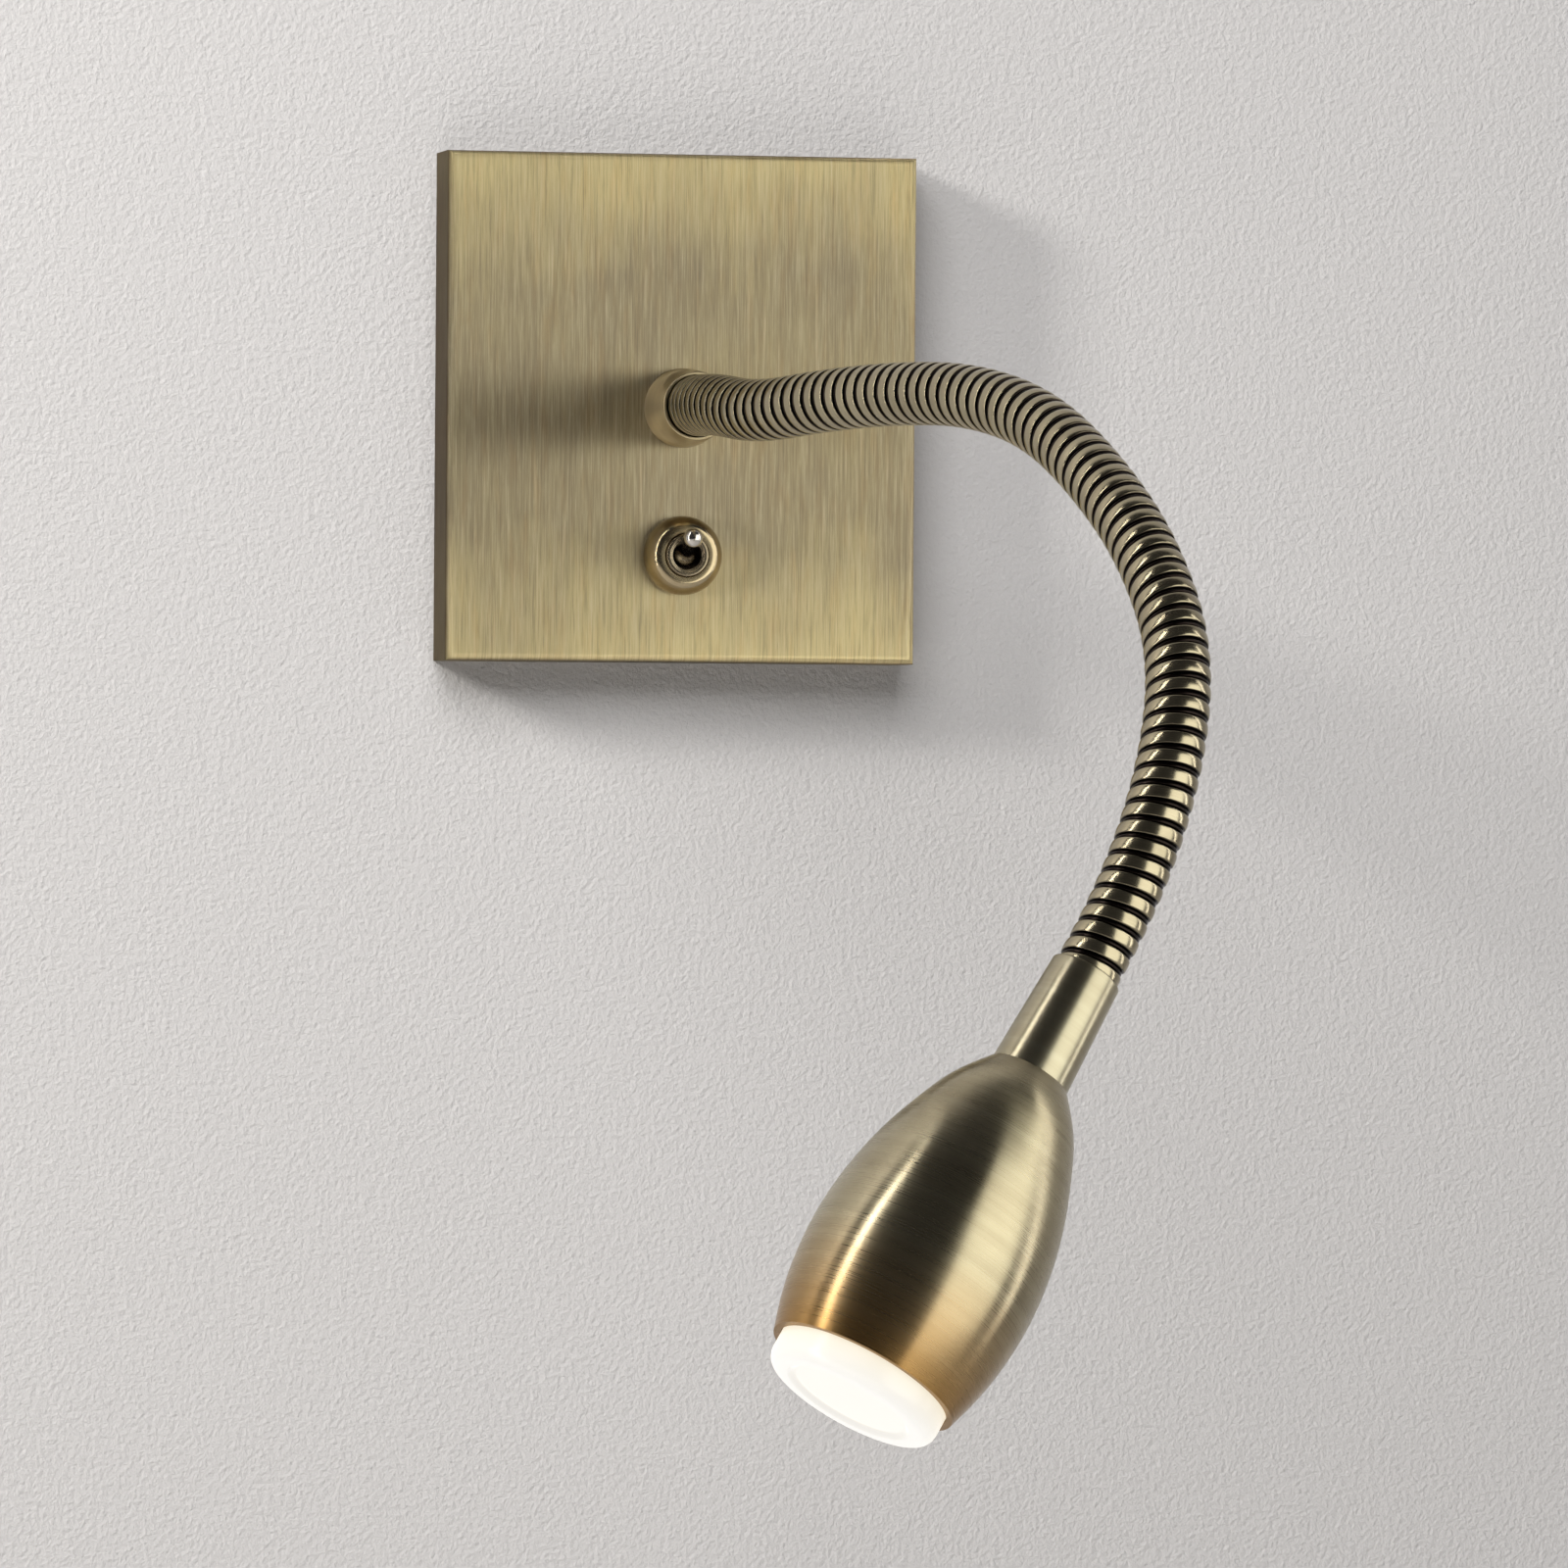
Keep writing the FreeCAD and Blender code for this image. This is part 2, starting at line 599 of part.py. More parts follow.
class Stretch:
    """A length of the arm that starts at a point and turns evenly from one direction to another."""

    def __init__(self, start, before, after, length):
        self.start, self.before, self.after, self.length = start, before, after, length
        self.turn = before.getAngle(after)
        if self.turn > 1e-6:
            side = after - before * math.cos(self.turn)
            self.side = side.normalize()
            self.normal = before.cross(self.side).normalize()
        else:
            self.side = before.cross(UP).normalize()
            self.normal = before.cross(self.side).normalize()

    def at(self, along):
        """The point this far along it."""
        if self.turn <= 1e-6:
            return self.start + self.before * along
        radius, angle = self.length / self.turn, along / self.length * self.turn
        return self.start + (self.before * math.sin(angle) + self.side * (1 - math.cos(angle))) * radius

    def way(self, along):
        """The direction this far along it."""
        angle = along / self.length * self.turn
        return self.before * math.cos(angle) + self.side * math.sin(angle)

    def circle(self, along, radius):
        """A circle square to it, started on the side that the whole stretch bends about."""
        way = self.way(along)
        turned_so = Rotation(self.normal, way.cross(self.normal), way, "ZXY")
        ring = Part.Circle(ORIGIN, UP, radius).toShape()
        ring.Placement = Placement(self.at(along), turned_so)
        return Part.Wire([ring])

    def tube(self, radius, first=0.0, last=None):
        """A plain round bar along it."""
        last = self.length if last is None else last
        if self.turn <= 1e-6:
            return Part.makeCylinder(radius, last - first, self.at(first), self.before)
        path = Part.Wire([Part.Arc(self.at(first), self.at((first + last) / 2), self.at(last)).toShape()])
        return path.makePipeShell([self.circle(first, radius)], True, False)


def rib_rings(start, end, cone_first, cone_last, length):
    """Where each circle of the ribs goes, and its radius: four to a rib, coned off at a bending end."""
    full, root = size("flex_dia") / 2, size("flex_dia") / 2 - size("flex_groove_depth")
    lip = size("flex_bore") / 2 + size("flex_end_lip")
    slope = math.tan(math.radians(worth("( bend_each_way + bend_clearance ) / 2")))
    groove, shoulder = size("flex_groove_width") / 2, size("flex_shoulder")
    pitch = size("flex_pitch")
    count = max(1, round((end - start) / pitch))
    step = (end - start) / count
    rings = []
    for n in range(count):
        low, high = start + n * step, start + (n + 1) * step
        if n == 0 and cone_first:
            rings += [(lip * slope, lip), (full * slope, full)]
        else:
            rings += [(low + groove, root), (low + groove + shoulder, full)]
        if n == count - 1 and cone_last:
            rings += [(length - full * slope, full), (length - lip * slope, lip)]
        else:
            rings += [(high - groove - shoulder, full), (high - groove, root)]
    return rings


def ribbed(stretch, start, cone_first, cone_last):
    """A length of gooseneck: even ribs outside, its bore, and room to bend at each coned end."""
    rings = rib_rings(start, stretch.length, cone_first, cone_last, stretch.length)
    wires = [stretch.circle(along, radius) for along, radius in rings]
    return Part.makeLoft(wires, True, True).cut(stretch.tube(size("flex_bore") / 2))


def arm_stretches():
    """The stretches of the arm: out of the collar, one per link, and into the neck."""
    pitch, straight, socket = size("flex_pitch"), size("flex_straight"), size("socket_depth")
    first_out = worth("plate_depth + collar_length - socket_depth")
    stub = straight + socket
    directions = [heading(*angles) for angles in ARM_HEADINGS]
    made = [Stretch(OUT * first_out, directions[0], directions[0], stub)]
    for before, after in zip(directions, directions[1:]):
        made.append(Stretch(made[-1].at(made[-1].length), before, after, size("turns_per_link") * pitch))
    end = made[-1].at(made[-1].length)
    made.append(Stretch(end, directions[-1], directions[-1], stub))
    return made


def make_arm(stretches):
    """The gooseneck in links that meet at the bends, and the lead that runs through them."""
    lead = size("lead_dia") / 2
    last = len(stretches) - 1
    for n, stretch in enumerate(stretches):
        name = "root" if n == 0 else "tip" if n == last else f"{n:02d}"
        solid_of(f"gooseneck_{name}", ribbed(stretch, 0.0, n > 0, n < last))
    for n, stretch in enumerate(stretches[1:-1], 1):
        solid_of(f"lead_{n:02d}", stretch.tube(lead))
    # the lead leaves the driver downwards and turns out through the nipple
    depth = worth("bracket_sheet + driver_gap + lead_dia / 2")
    foot = worth(f"{DRIVER_BOTTOM} - wire_gap")
    first = stretches[0]
    meets = first.at(first.length)
    root, radii = routed([(0, -depth, foot), (0, -depth, 0), tuple(meets)], lead, size("lead_dia"))
    solid_of("lead_root", root)
    print("lead_root radii", [round(r, 1) for r in radii])
    tip = stretches[-1]
    reach = worth("flex_straight + neck_length + shell_length - rim_depth - 2 * wire_gap")
    solid_of("lead_tip", Part.makeCylinder(lead, reach, tip.start, tip.before))


# head -----------------------------------------------------------------------------------------------
SINK_RADIUS = "( diffuser_dia / 2 - 3 * slip )"
RIM_RADIUS = "diffuser_dia / 2 + 2 * slip + shell_wall"


def make_head(stretches):
    """Everything on the head, turned about the line that the arm's end points along."""
    tip = stretches[-1]
    top = tip.at(size("flex_straight"))
    along = tip.before
    thread, bore = "nipple_dia / 2 + thread_slip", "lead_dia / 2 + lead_gap"
    neck_top = "flex_dia / 2 + slip + neck_lip"
    end = "neck_length"

    def seat(label):
        pieces[label].Placement = axis_frame(top, along)

    turned("neck", [
        ("flex_dia / 2 + slip", "0"),
        (f"{neck_top} - neck_lip * 0.7", "0"),
        (neck_top, "neck_round"),
        (f"{neck_top} + neck_flare", end),
        (thread, end),
        (thread, "socket_depth"),
        ("flex_dia / 2 + slip", "socket_depth"),
    ])
    nipple_low = f"{end} - nipple_inside - nipple_grip + nipple_relief"
    turned("head_nipple", [("nipple_bore / 2", nipple_low), ("nipple_dia / 2", nipple_low),
                           ("nipple_dia / 2", f"{end} + head_nipple_reach"),
                           ("nipple_bore / 2", f"{end} + head_nipple_reach")])
    nut_low = f"{end} + shell_top_wall"
    blank = doc.addObject("Part::Prism", "head_nut_blank")
    blank.Polygon = 6
    bind(blank, Circumradius="nut_flats / sqrt(3)", Height="nut_height")
    bind(blank, Placement__Base__z=nut_low)
    hole = doc.addObject("Part::Cylinder", "head_nut_hole")
    bind(hole, Radius=thread, Height="neck_length * 3")
    keep("head_nut", cut("head_nut_cut", blank, [hole]))

    solid_of("head_shell", shell_shape())
    make_heat_sink(bore, thread)
    face = f"{end} + shell_length - rim_depth"
    board_top = f"{face} + board_thickness"
    turned("led_board", [("0", face), ("board_dia / 2", face), ("board_dia / 2", board_top),
                         ("0", board_top)])
    emitter_top = f"{board_top} + emitter_height"
    turned("led_emitter", [("0", board_top), ("emitter_dia / 2", board_top), ("emitter_dia / 2", emitter_top),
                           ("0", emitter_top)])
    screws = []
    for side in ("-1", "1"):
        screw = doc.addObject("Part::Cylinder", "board_screw_head")
        bind(screw, Radius="board_screw_dia * 0.8", Height="board_screw_height", Placement__Base__z=board_top,
             Placement__Base__x=f"{side} * board_screw_circle / 2")
        screws.append(screw)
    keep("board_screws", fuse("board_screw_pair", screws))
    seal_top = f"{face} + seal_thickness"
    inner = "diffuser_dia / 2 - diffuser_wall"
    turned("diffuser_seal", [(inner, face), (SINK_RADIUS, face), (SINK_RADIUS, seal_top),
                             (inner, seal_top)])
    front = f"{end} + shell_length + diffuser_proud"
    outer, dish = "diffuser_dia / 2", "diffuser_dia / 2 - diffuser_round - diffuser_land"
    turned("diffuser", [
        (inner, seal_top), (outer, seal_top), (outer, f"{front} - diffuser_round"),
        (f"{outer} - diffuser_round * 0.3", f"{front} - diffuser_round * 0.3"),
        (f"{outer} - diffuser_round", front), (dish, front), (f"{dish} - 1", f"{front} - diffuser_dish_depth"),
        ("0", f"{front} - diffuser_dish_depth"), ("0", f"{front} - diffuser_dish_depth - diffuser_wall"),
        (inner, f"{front} - diffuser_dish_depth - diffuser_wall"),
    ])
    for label in ("neck", "head_nipple", "head_nut", "head_shell", "heat_sink", "led_board", "led_emitter",
                  "board_screws", "diffuser_seal", "diffuser"):
        seat(label)


def make_heat_sink(bore, thread):
    """The sink: a stem threaded on the nipple, thin round fins and the plate that carries the board."""
    low, face = "neck_length + stem_start", "neck_length + shell_length - rim_depth"
    fin_radius = f"{SINK_RADIUS} - fin_inset"
    reach = "neck_length + head_nipple_reach + lead_gap"
    corners = [(thread, low), ("stem_dia / 2", low)]
    for n in range(int(size("fin_count"))):
        fin = f"{low} + {n + 2} * fin_spacing"
        for across, up in (("stem_dia / 2", "0"), (fin_radius, "0"), (fin_radius, "fin_thickness"),
                           ("stem_dia / 2", "fin_thickness")):
            corners.append((across, f"{fin} + {up}"))
    under = f"{face} - sink_plate"
    corners += [("stem_dia / 2", under), (SINK_RADIUS, under), (SINK_RADIUS, face), (bore, face),
                (bore, reach), (thread, reach)]
    turned("heat_sink", corners)


def shell_shape():
    """The head shell: one smooth outline turned round, a flat top with the nipple's hole, an open rim."""
    start, wall, top = size("neck_length"), size("shell_wall"), size("shell_top_wall")
    grow = size("shell_length") / SHELL_OUTLINE[-1][0]
    widen = worth(RIM_RADIUS) / SHELL_OUTLINE[-1][1]

    def curve(points):
        line = Part.BSplineCurve()
        line.interpolate([Vector(radius, 0, start + along) for along, radius in points])
        return line.toShape()

    outer = [(along * grow, radius * widen) for along, radius in SHELL_OUTLINE]
    inner = [(along, radius - wall) for along, radius in outer[1:]]
    neck_in = outer[0][1] + top - wall
    inner = [(top, neck_in)] + inner
    hole = size("nipple_dia") / 2 + size("slip")
    outside, inside = curve(outer), curve(inner)

    def spot(radius, along):
        return Vector(radius, 0, start + along)

    edges = [
        Part.LineSegment(spot(hole, 0), spot(outer[0][1], 0)).toShape(),
        outside,
        Part.LineSegment(spot(outer[-1][1], outer[-1][0]), spot(inner[-1][1], inner[-1][0])).toShape(),
        inside,
        Part.LineSegment(spot(neck_in, top), spot(hole, top)).toShape(),
        Part.LineSegment(spot(hole, top), spot(hole, 0)).toShape(),
    ]
    return Part.Face(Part.Wire(Part.__sortEdges__(edges))).revolve(ORIGIN, UP, 360)


# the lamp -------------------------------------------------------------------------------------------
make_wall_plate()
make_bracket()
make_cover_screws()
make_collar()
make_arm_fixing()
make_switch()
make_lever()
make_driver()
make_terminals()
make_wires()
stretches = arm_stretches()
make_arm(stretches)
make_head(stretches)

doc.recompute()
for thing in doc.Objects:
    if "Invalid" in thing.State or "Error" in thing.State:
        raise RuntimeError(f"{thing.Name} did not build")
os.makedirs("parts", exist_ok=True)
for label, thing in pieces.items():
    if thing.Shape.isNull() or not thing.Shape.isValid():
        raise RuntimeError(f"{label} has no valid shape")
    thing.Shape.exportStep(f"parts/{label}.step")
    print(label, len(thing.Shape.Solids), round(thing.Shape.Volume, 2))
for n, stretch in enumerate(stretches):
    spot, way = stretch.start, stretch.before
    print("bend", n, [round(c, 4) for c in spot], [round(c, 6) for c in way])
print(len(pieces), "sub-parts")
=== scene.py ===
"""Looks of the bedside wall reading lamp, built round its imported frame.

The wall is the plane Y = 0, the lamp stands out from it towards -Y and Z is up. Lengths are metres;
sizes written in millimetres carry the factor MM.
"""

import json
import logging
import math
from dataclasses import dataclass, field
from enum import Enum

import bmesh
import bpy
import numpy as np
from bpy.types import Material, NodeSocket, Object
from mathutils import Euler, Matrix, Vector

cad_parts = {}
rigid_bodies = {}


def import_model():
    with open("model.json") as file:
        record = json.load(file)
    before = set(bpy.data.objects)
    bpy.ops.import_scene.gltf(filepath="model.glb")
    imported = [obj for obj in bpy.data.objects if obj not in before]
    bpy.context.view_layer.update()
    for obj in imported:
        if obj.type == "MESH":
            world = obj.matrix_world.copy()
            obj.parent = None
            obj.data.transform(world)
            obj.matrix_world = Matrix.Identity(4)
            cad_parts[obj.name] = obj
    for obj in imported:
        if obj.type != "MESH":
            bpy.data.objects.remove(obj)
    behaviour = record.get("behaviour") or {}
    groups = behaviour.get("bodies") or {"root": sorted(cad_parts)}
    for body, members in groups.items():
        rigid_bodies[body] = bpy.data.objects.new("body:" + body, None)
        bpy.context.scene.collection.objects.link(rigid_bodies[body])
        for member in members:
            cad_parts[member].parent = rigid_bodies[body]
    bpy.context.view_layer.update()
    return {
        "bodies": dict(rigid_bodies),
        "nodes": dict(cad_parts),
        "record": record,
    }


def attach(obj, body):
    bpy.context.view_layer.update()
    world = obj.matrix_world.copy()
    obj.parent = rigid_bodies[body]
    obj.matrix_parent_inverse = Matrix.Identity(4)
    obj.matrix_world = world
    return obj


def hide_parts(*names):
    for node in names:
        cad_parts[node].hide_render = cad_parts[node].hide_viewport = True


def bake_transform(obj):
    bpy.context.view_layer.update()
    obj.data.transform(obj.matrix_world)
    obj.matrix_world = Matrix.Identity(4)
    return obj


MM = 0.001
LOG = logging.getLogger("reading_lamp")
TAU = 2 * math.pi

# which way the arm heads at each bend, in degrees: to the right of straight out, then below level
ARM_HEADINGS = [(0, 0), (8, 6), (19, -4), (23, -2), (21, 2), (19, 12), (16, 27), (14, 35), (8, 48),
                (-24, 62), (-57, 64), (-68, 56)]

# outline of the head shell, in millimetres: how far along the head, and its radius there
SHELL_OUTLINE = [(0, 7.6), (7, 12.6), (13, 15.3), (20, 17.86), (29, 20.1), (39, 21.24), (50, 20.74),
                 (57, 19.45), (63, 17.7)]

# how the points of half a turn are spread: from 0 to 1 over half the gap, to 2 over half the broad wire
TURN_SHARES = np.array([[0, 0.16, 0.3, 0.42, 0.52, 0.6, 0.66, 0.8, 0.93, 1.0, 1.03, 1.08, 1.15, 1.26, 1.4,
                         1.65, 2.0]])


# shader expressions
class Blend(Enum):
    """How two colours are mixed."""

    MIX = "MIX"
    MULTIPLY = "MULTIPLY"


class Value:
    """A socket that carries a number, with arithmetic that adds Math nodes."""

    def __init__(self, tree: "Tree", socket: NodeSocket) -> None:
        """Wrap one output socket of a tree."""
        self.tree = tree
        self.socket = socket

    def _math(self, operation: str, *values: object, clamp: bool = False) -> "Value":
        """Add one Math node.

        Args:
            operation: the node's operation.
            values: its inputs, as Values or numbers.
            clamp: whether its result is held between 0 and 1.

        Returns:
            The node's output.
        """
        node = self.tree.node("ShaderNodeMath", {"operation": operation, "use_clamp": clamp},
                              dict(enumerate(values)))
        return Value(self.tree, node.outputs[0])

    def __add__(self, other: object) -> "Value":
        """Sum."""
        return self._math("ADD", self, other)

    def __radd__(self, other: object) -> "Value":
        """Sum, the number first."""
        return self._math("ADD", other, self)

    def __sub__(self, other: object) -> "Value":
        """Difference."""
        return self._math("SUBTRACT", self, other)

    def __rsub__(self, other: object) -> "Value":
        """Difference, the number first."""
        return self._math("SUBTRACT", other, self)

    def __mul__(self, other: object) -> "Value":
        """Product."""
        return self._math("MULTIPLY", self, other)

    def __truediv__(self, other: object) -> "Value":
        """Quotient."""
        return self._math("DIVIDE", self, other)

    def __pow__(self, other: object) -> "Value":
        """Power."""
        return self._math("POWER", self, other)

    def __abs__(self) -> "Value":
        """Size without sign."""
        return self._math("ABSOLUTE", self)

    def held(self) -> "Value":
        """The value held between 0 and 1."""
        return self._math("ADD", self, 0.0, clamp=True)

    def ramp(self, low: float, high: float) -> "Value":
        """0 at low, 1 at high, straight between and held outside."""
        return ((self - low) / (high - low)).held()


class Tree:
    """A node tree under construction."""

    def __init__(self, tree: bpy.types.NodeTree) -> None:
        """Hold the tree's nodes and links."""
        self.nodes = tree.nodes
        self.links = tree.links

    def node(self, kind: str, settings: dict | None = None, values: dict | None = None) -> bpy.types.Node:
        """Add a node.

        Args:
            kind: the node's type.
            settings: its properties, set first.
            values: what its input sockets get, by name or number: Values, sockets or constants.

        Returns:
            The node.
        """
        made = self.nodes.new(kind)
        for key, setting in (settings or {}).items():
            setattr(made, key, setting)
        for key, value in (values or {}).items():
            self.feed(made.inputs[key], value)
        return made

    def feed(self, socket: NodeSocket, value: object) -> None:
        """Link something to an input, or set a constant on it.

        Args:
            socket: the input.
            value: a Value, an output socket, a number, or three numbers.
        """
        if isinstance(value, Value):
            self.links.new(value.socket, socket)
        elif isinstance(value, NodeSocket):
            self.links.new(value, socket)
        elif isinstance(value, tuple) and socket.type == "RGBA":
            socket.default_value = (*value, 1.0)
        else:
            socket.default_value = value

    def mix(self, amount: object, first: object, second: object,
            how: Blend = Blend.MIX) -> NodeSocket:
        """Mix two colours.

        Args:
            amount: from 0, for the first, to 1.
            first: a colour.
            second: another colour.
            how: the kind of mixing.

        Returns:
            The mixed colour.
        """
        return self.node("ShaderNodeMix", {"data_type": "RGBA", "blend_type": how.value},
                         {0: amount, 6: first, 7: second}).outputs[2]


class Shader(Tree):
    """A material under construction: one Principled shader and what feeds it."""

    def __init__(self, name: str) -> None:
        """Make the material.

        Args:
            name: the material's name.
        """
        self.material = bpy.data.materials.new(name)
        self.material.use_nodes = True
        super().__init__(self.material.node_tree)
        self.shader = self.nodes["Principled BSDF"]

    def set(self, **sockets: object) -> None:
        """Feed the Principled shader's sockets, named with _ for a space."""
        for name, value in sockets.items():
            self.feed(self.shader.inputs[name.replace("_", " ")], value)

    def place(self, grain: tuple = (1, 1, 1), middle: tuple = (0, 0, 0),
              turn: tuple = (0, 0, 0)) -> NodeSocket:
        """Object coordinates on another scale and from another middle.

        Args:
            grain: what they are divided by along each axis.
            middle: where they start.
            turn: how their axes are turned.

        Returns:
            The place.
        """
        return self.node("ShaderNodeMapping", {"vector_type": "TEXTURE"},
                         {"Vector": self.node("ShaderNodeTexCoord").outputs["Object"], "Location": middle,
                          "Rotation": turn, "Scale": grain}).outputs[0]

    def attribute(self, name: str) -> Value:
        """A number stored on the mesh's points."""
        return Value(self, self.node("ShaderNodeAttribute", {"attribute_name": name}).outputs["Fac"])

    def noise(self, spot: NodeSocket, detail: float, rough: float) -> Value:
        """Smooth noise between about 0.2 and 0.8.

        Args:
            spot: the place, on the noise's own scale.
            detail: how many finer layers it has.
            rough: how strong the finer layers are.

        Returns:
            The noise.
        """
        values = {"Vector": spot, "Scale": 1.0, "Detail": detail, "Roughness": rough}
        return Value(self, self.node("ShaderNodeTexNoise", {}, values).outputs["Fac"])

    def axis(self, spot: NodeSocket, letter: str) -> Value:
        """One coordinate of a place."""
        return Value(self, self.node("ShaderNodeSeparateXYZ", {}, {0: spot}).outputs[letter])

    def bump(self, height: Value, depth: float, strength: float) -> NodeSocket:
        """A normal raised by a height from 0 to 1 over a depth in metres."""
        values = {"Height": height, "Distance": depth, "Strength": strength}
        return self.node("ShaderNodeBump", {}, values).outputs[0]


# finishes
@dataclass(frozen=True)
class BrushedPlate:
    """Antique brass brushed upright: paler and yellower at the top and bottom, greyer in the middle, with
    painted shade on its side walls.
    """

    bright: tuple = (0.66, 0.55, 0.295)
    dull: tuple = (0.39, 0.325, 0.21)
    # near-black colour of the painted shade on the side walls
    side: tuple = (0.05, 0.032, 0.018)
    scratch: tuple = (0.80, 0.71, 0.50)
    groove: tuple = (0.18, 0.14, 0.10)
    tint: tuple = (1.0, 0.86, 0.74)
    rough: float = 0.45
    half_height: float = 50 * MM
    side_shade_from: float = -13.65 * MM
    side_shade_to: float = -12.7 * MM

    def build(self) -> Material:
        """Make the material.

        Returns:
            The material.
        """
        s = Shader("antique_brass_upright")
        fine = s.noise(s.place((0.2 * MM, 4 * MM, 9 * MM)), 5.0, 0.7)
        lines = s.noise(s.place((0.45 * MM, 20 * MM, 16 * MM)), 4.0, 0.6)
        broad = s.noise(s.place((5.5 * MM, 20 * MM, 34 * MM)), 3.0, 0.55)
        cloud = s.noise(s.place((26 * MM, 26 * MM, 22 * MM)), 2.0, 0.5)
        up = s.axis(s.place(), "Z")
        edge = (abs(up) / self.half_height + (broad - 0.5) * 0.3 + (cloud - 0.5) * 0.4).ramp(0.45, 1.0)
        shade = (edge * 0.9 + (cloud - 0.5) * 0.6 + (broad - 0.5) * 0.4 + 0.12).held()
        colour = s.mix(shade, self.dull, self.bright)
        streak = ((fine - 0.5) * 1.9 + (lines - 0.5) * 0.9 + 0.5).held()
        colour = s.mix(streak.ramp(0.5, 1.0) * 0.5, colour, self.scratch)
        colour = s.mix((1.0 - streak).ramp(0.5, 1.0) * 0.6, colour, self.groove)
        # painted shade: the side walls and everything behind the face, back to the wall, turn near black
        out = s.axis(s.place(), "Y")
        colour = s.mix(out.ramp(self.side_shade_from, self.side_shade_to) * 0.85, colour, self.side)
        warm = s.noise(s.place((1.6 * MM, 20 * MM, 12 * MM)), 3.0, 0.6)
        colour = s.mix((warm - 0.5).ramp(0.0, 0.3) * 0.55, colour, self.tint, Blend.MULTIPLY)
        s.set(Base_Color=colour, Metallic=1.0, Anisotropic=1.0,
              Roughness=self.rough + (broad - 0.5) * 0.06 + (1.0 - edge) * 0.02,
              Normal=s.bump(fine, 0.02 * MM, 0.3))
        return s.material


@dataclass(frozen=True)
class TurnedBrass:
    """Antique brass polished on a lathe, with faint rings round its own axis, and where asked a painted warm
    glow from the lens towards one end.
    """

    name: str
    middle: tuple
    turn: tuple
    bright: tuple
    dull: tuple
    rough: float
    mark: float
    stretch: float
    ring: float = 0.10 * MM
    # colour of a painted warm glow, the lens's light on the brass, strongest at the shell's rim
    warm: tuple = (0.33, 0.175, 0.045)
    painted_glow_at: float = 0.0
    painted_glow_reach: float = 22 * MM

    def lean(self) -> float:
        """The turn that lays the stretch of highlights along the axis, as a share of a full turn."""
        along = Euler(self.turn).to_matrix() @ Vector((0, 0, 1))
        return 0.25 + math.atan2(along.x, -along.z) / TAU if abs(along.z) > 0.1 else 0.0

    def noise(self, s: Shader, across: float, along: float, detail: float, rough: float) -> Value:
        """Noise on its own scales across and along the axis.

        Args:
            s: the shader.
            across: the scale across the axis, in metres.
            along: the scale along it.
            detail: how many finer layers it has.
            rough: how strong the finer layers are.

        Returns:
            The noise.
        """
        return s.noise(s.place((across, across, along), self.middle, self.turn), detail, rough)

    def build(self) -> Material:
        """Make the material.

        Returns:
            The material.
        """
        s = Shader(self.name)
        rings = self.noise(s, 26 * MM, self.ring, 4.0, 0.62)
        broad = self.noise(s, 60 * MM, 2.2 * MM, 2.0, 0.5)
        cloud = self.noise(s, 14 * MM, 14 * MM, 3.0, 0.5)
        shade = (0.55 + (broad - 0.5) * 0.5 + (cloud - 0.5) * 0.5 + (rings - 0.5) * 0.35).held()
        colour = s.mix(shade, self.dull, self.bright)
        # painted glow: the lens's warm light painted on the brass, growing towards the shell's rim
        if self.painted_glow_at:
            along = s.axis(s.place(middle=self.middle, turn=self.turn), "Z")
            colour = s.mix(along.ramp(self.painted_glow_at - self.painted_glow_reach, self.painted_glow_at) * 0.85, colour, self.warm)
        s.set(Base_Color=colour, Metallic=1.0, Roughness=self.rough + (rings - 0.5) * 0.1,
              Anisotropic=self.stretch, Anisotropic_Rotation=self.lean(),
              Normal=s.bump(rings, 0.012 * MM, self.mark))
        return s.material


@dataclass(frozen=True)
class WoundBrass:
    """The gooseneck's wires: bright on the outer flats, dark down in the gaps with patina and painted shade.
    """

    bright: tuple = (0.43, 0.38, 0.26)
    dull: tuple = (0.22, 0.185, 0.12)
    patina_and_shade: tuple = (0.018, 0.013, 0.011)
    drawn: tuple = (9 * MM, 0.12 * MM, 1.0)

    def build(self) -> Material:
        """Make the material.

        Returns:
            The material.
        """
        s = Shader("wound_brass")
        depth = s.attribute("depth")
        along = s.node("ShaderNodeMapping", {"vector_type": "TEXTURE"},
                       {"Vector": s.node("ShaderNodeUVMap").outputs[0], "Scale": self.drawn})
        streak = s.noise(along.outputs[0], 3.0, 0.6)
        cloud = s.noise(s.place((9 * MM,) * 3), 3.0, 0.5)
        wire = s.mix((0.6 + (cloud - 0.5) * 0.9 + (streak - 0.5) * 0.7).held(), self.dull, self.bright)
        # the deepest parts of the gaps turn near black: patina and painted shade
        s.set(Base_Color=s.mix(depth.ramp(0.08, 0.2), wire, self.patina_and_shade), Metallic=1.0,
              Roughness=(0.22 + (streak - 0.5) * 0.12 + depth.ramp(0.2, 0.9) * 0.3).held(),
              Normal=s.bump(streak, 0.008 * MM, 0.3))
        return s.material


@dataclass(frozen=True)
class PlainMetal:
    """Bright plated or bare metal with fine wear."""

    name: str
    colour: tuple
    rough: float
    grain: float = 0.7 * MM
    worn: float = 0.72

    def build(self) -> Material:
        """Make the material.

        Returns:
            The material.
        """
        s = Shader(self.name)
        fine = s.noise(s.place((self.grain,) * 3), 3.0, 0.6)
        wide = s.noise(s.place((self.grain * 9,) * 3), 2.0, 0.5)
        dark = tuple(c * self.worn for c in self.colour)
        s.set(Base_Color=s.mix((0.6 + (wide - 0.5) * 1.1 + (fine - 0.5) * 0.4).held(), dark, self.colour),
              Metallic=1.0, Roughness=(self.rough + (fine - 0.5) * 0.14).held(),
              Normal=s.bump(fine, 0.01 * MM, 0.15))
        return s.material


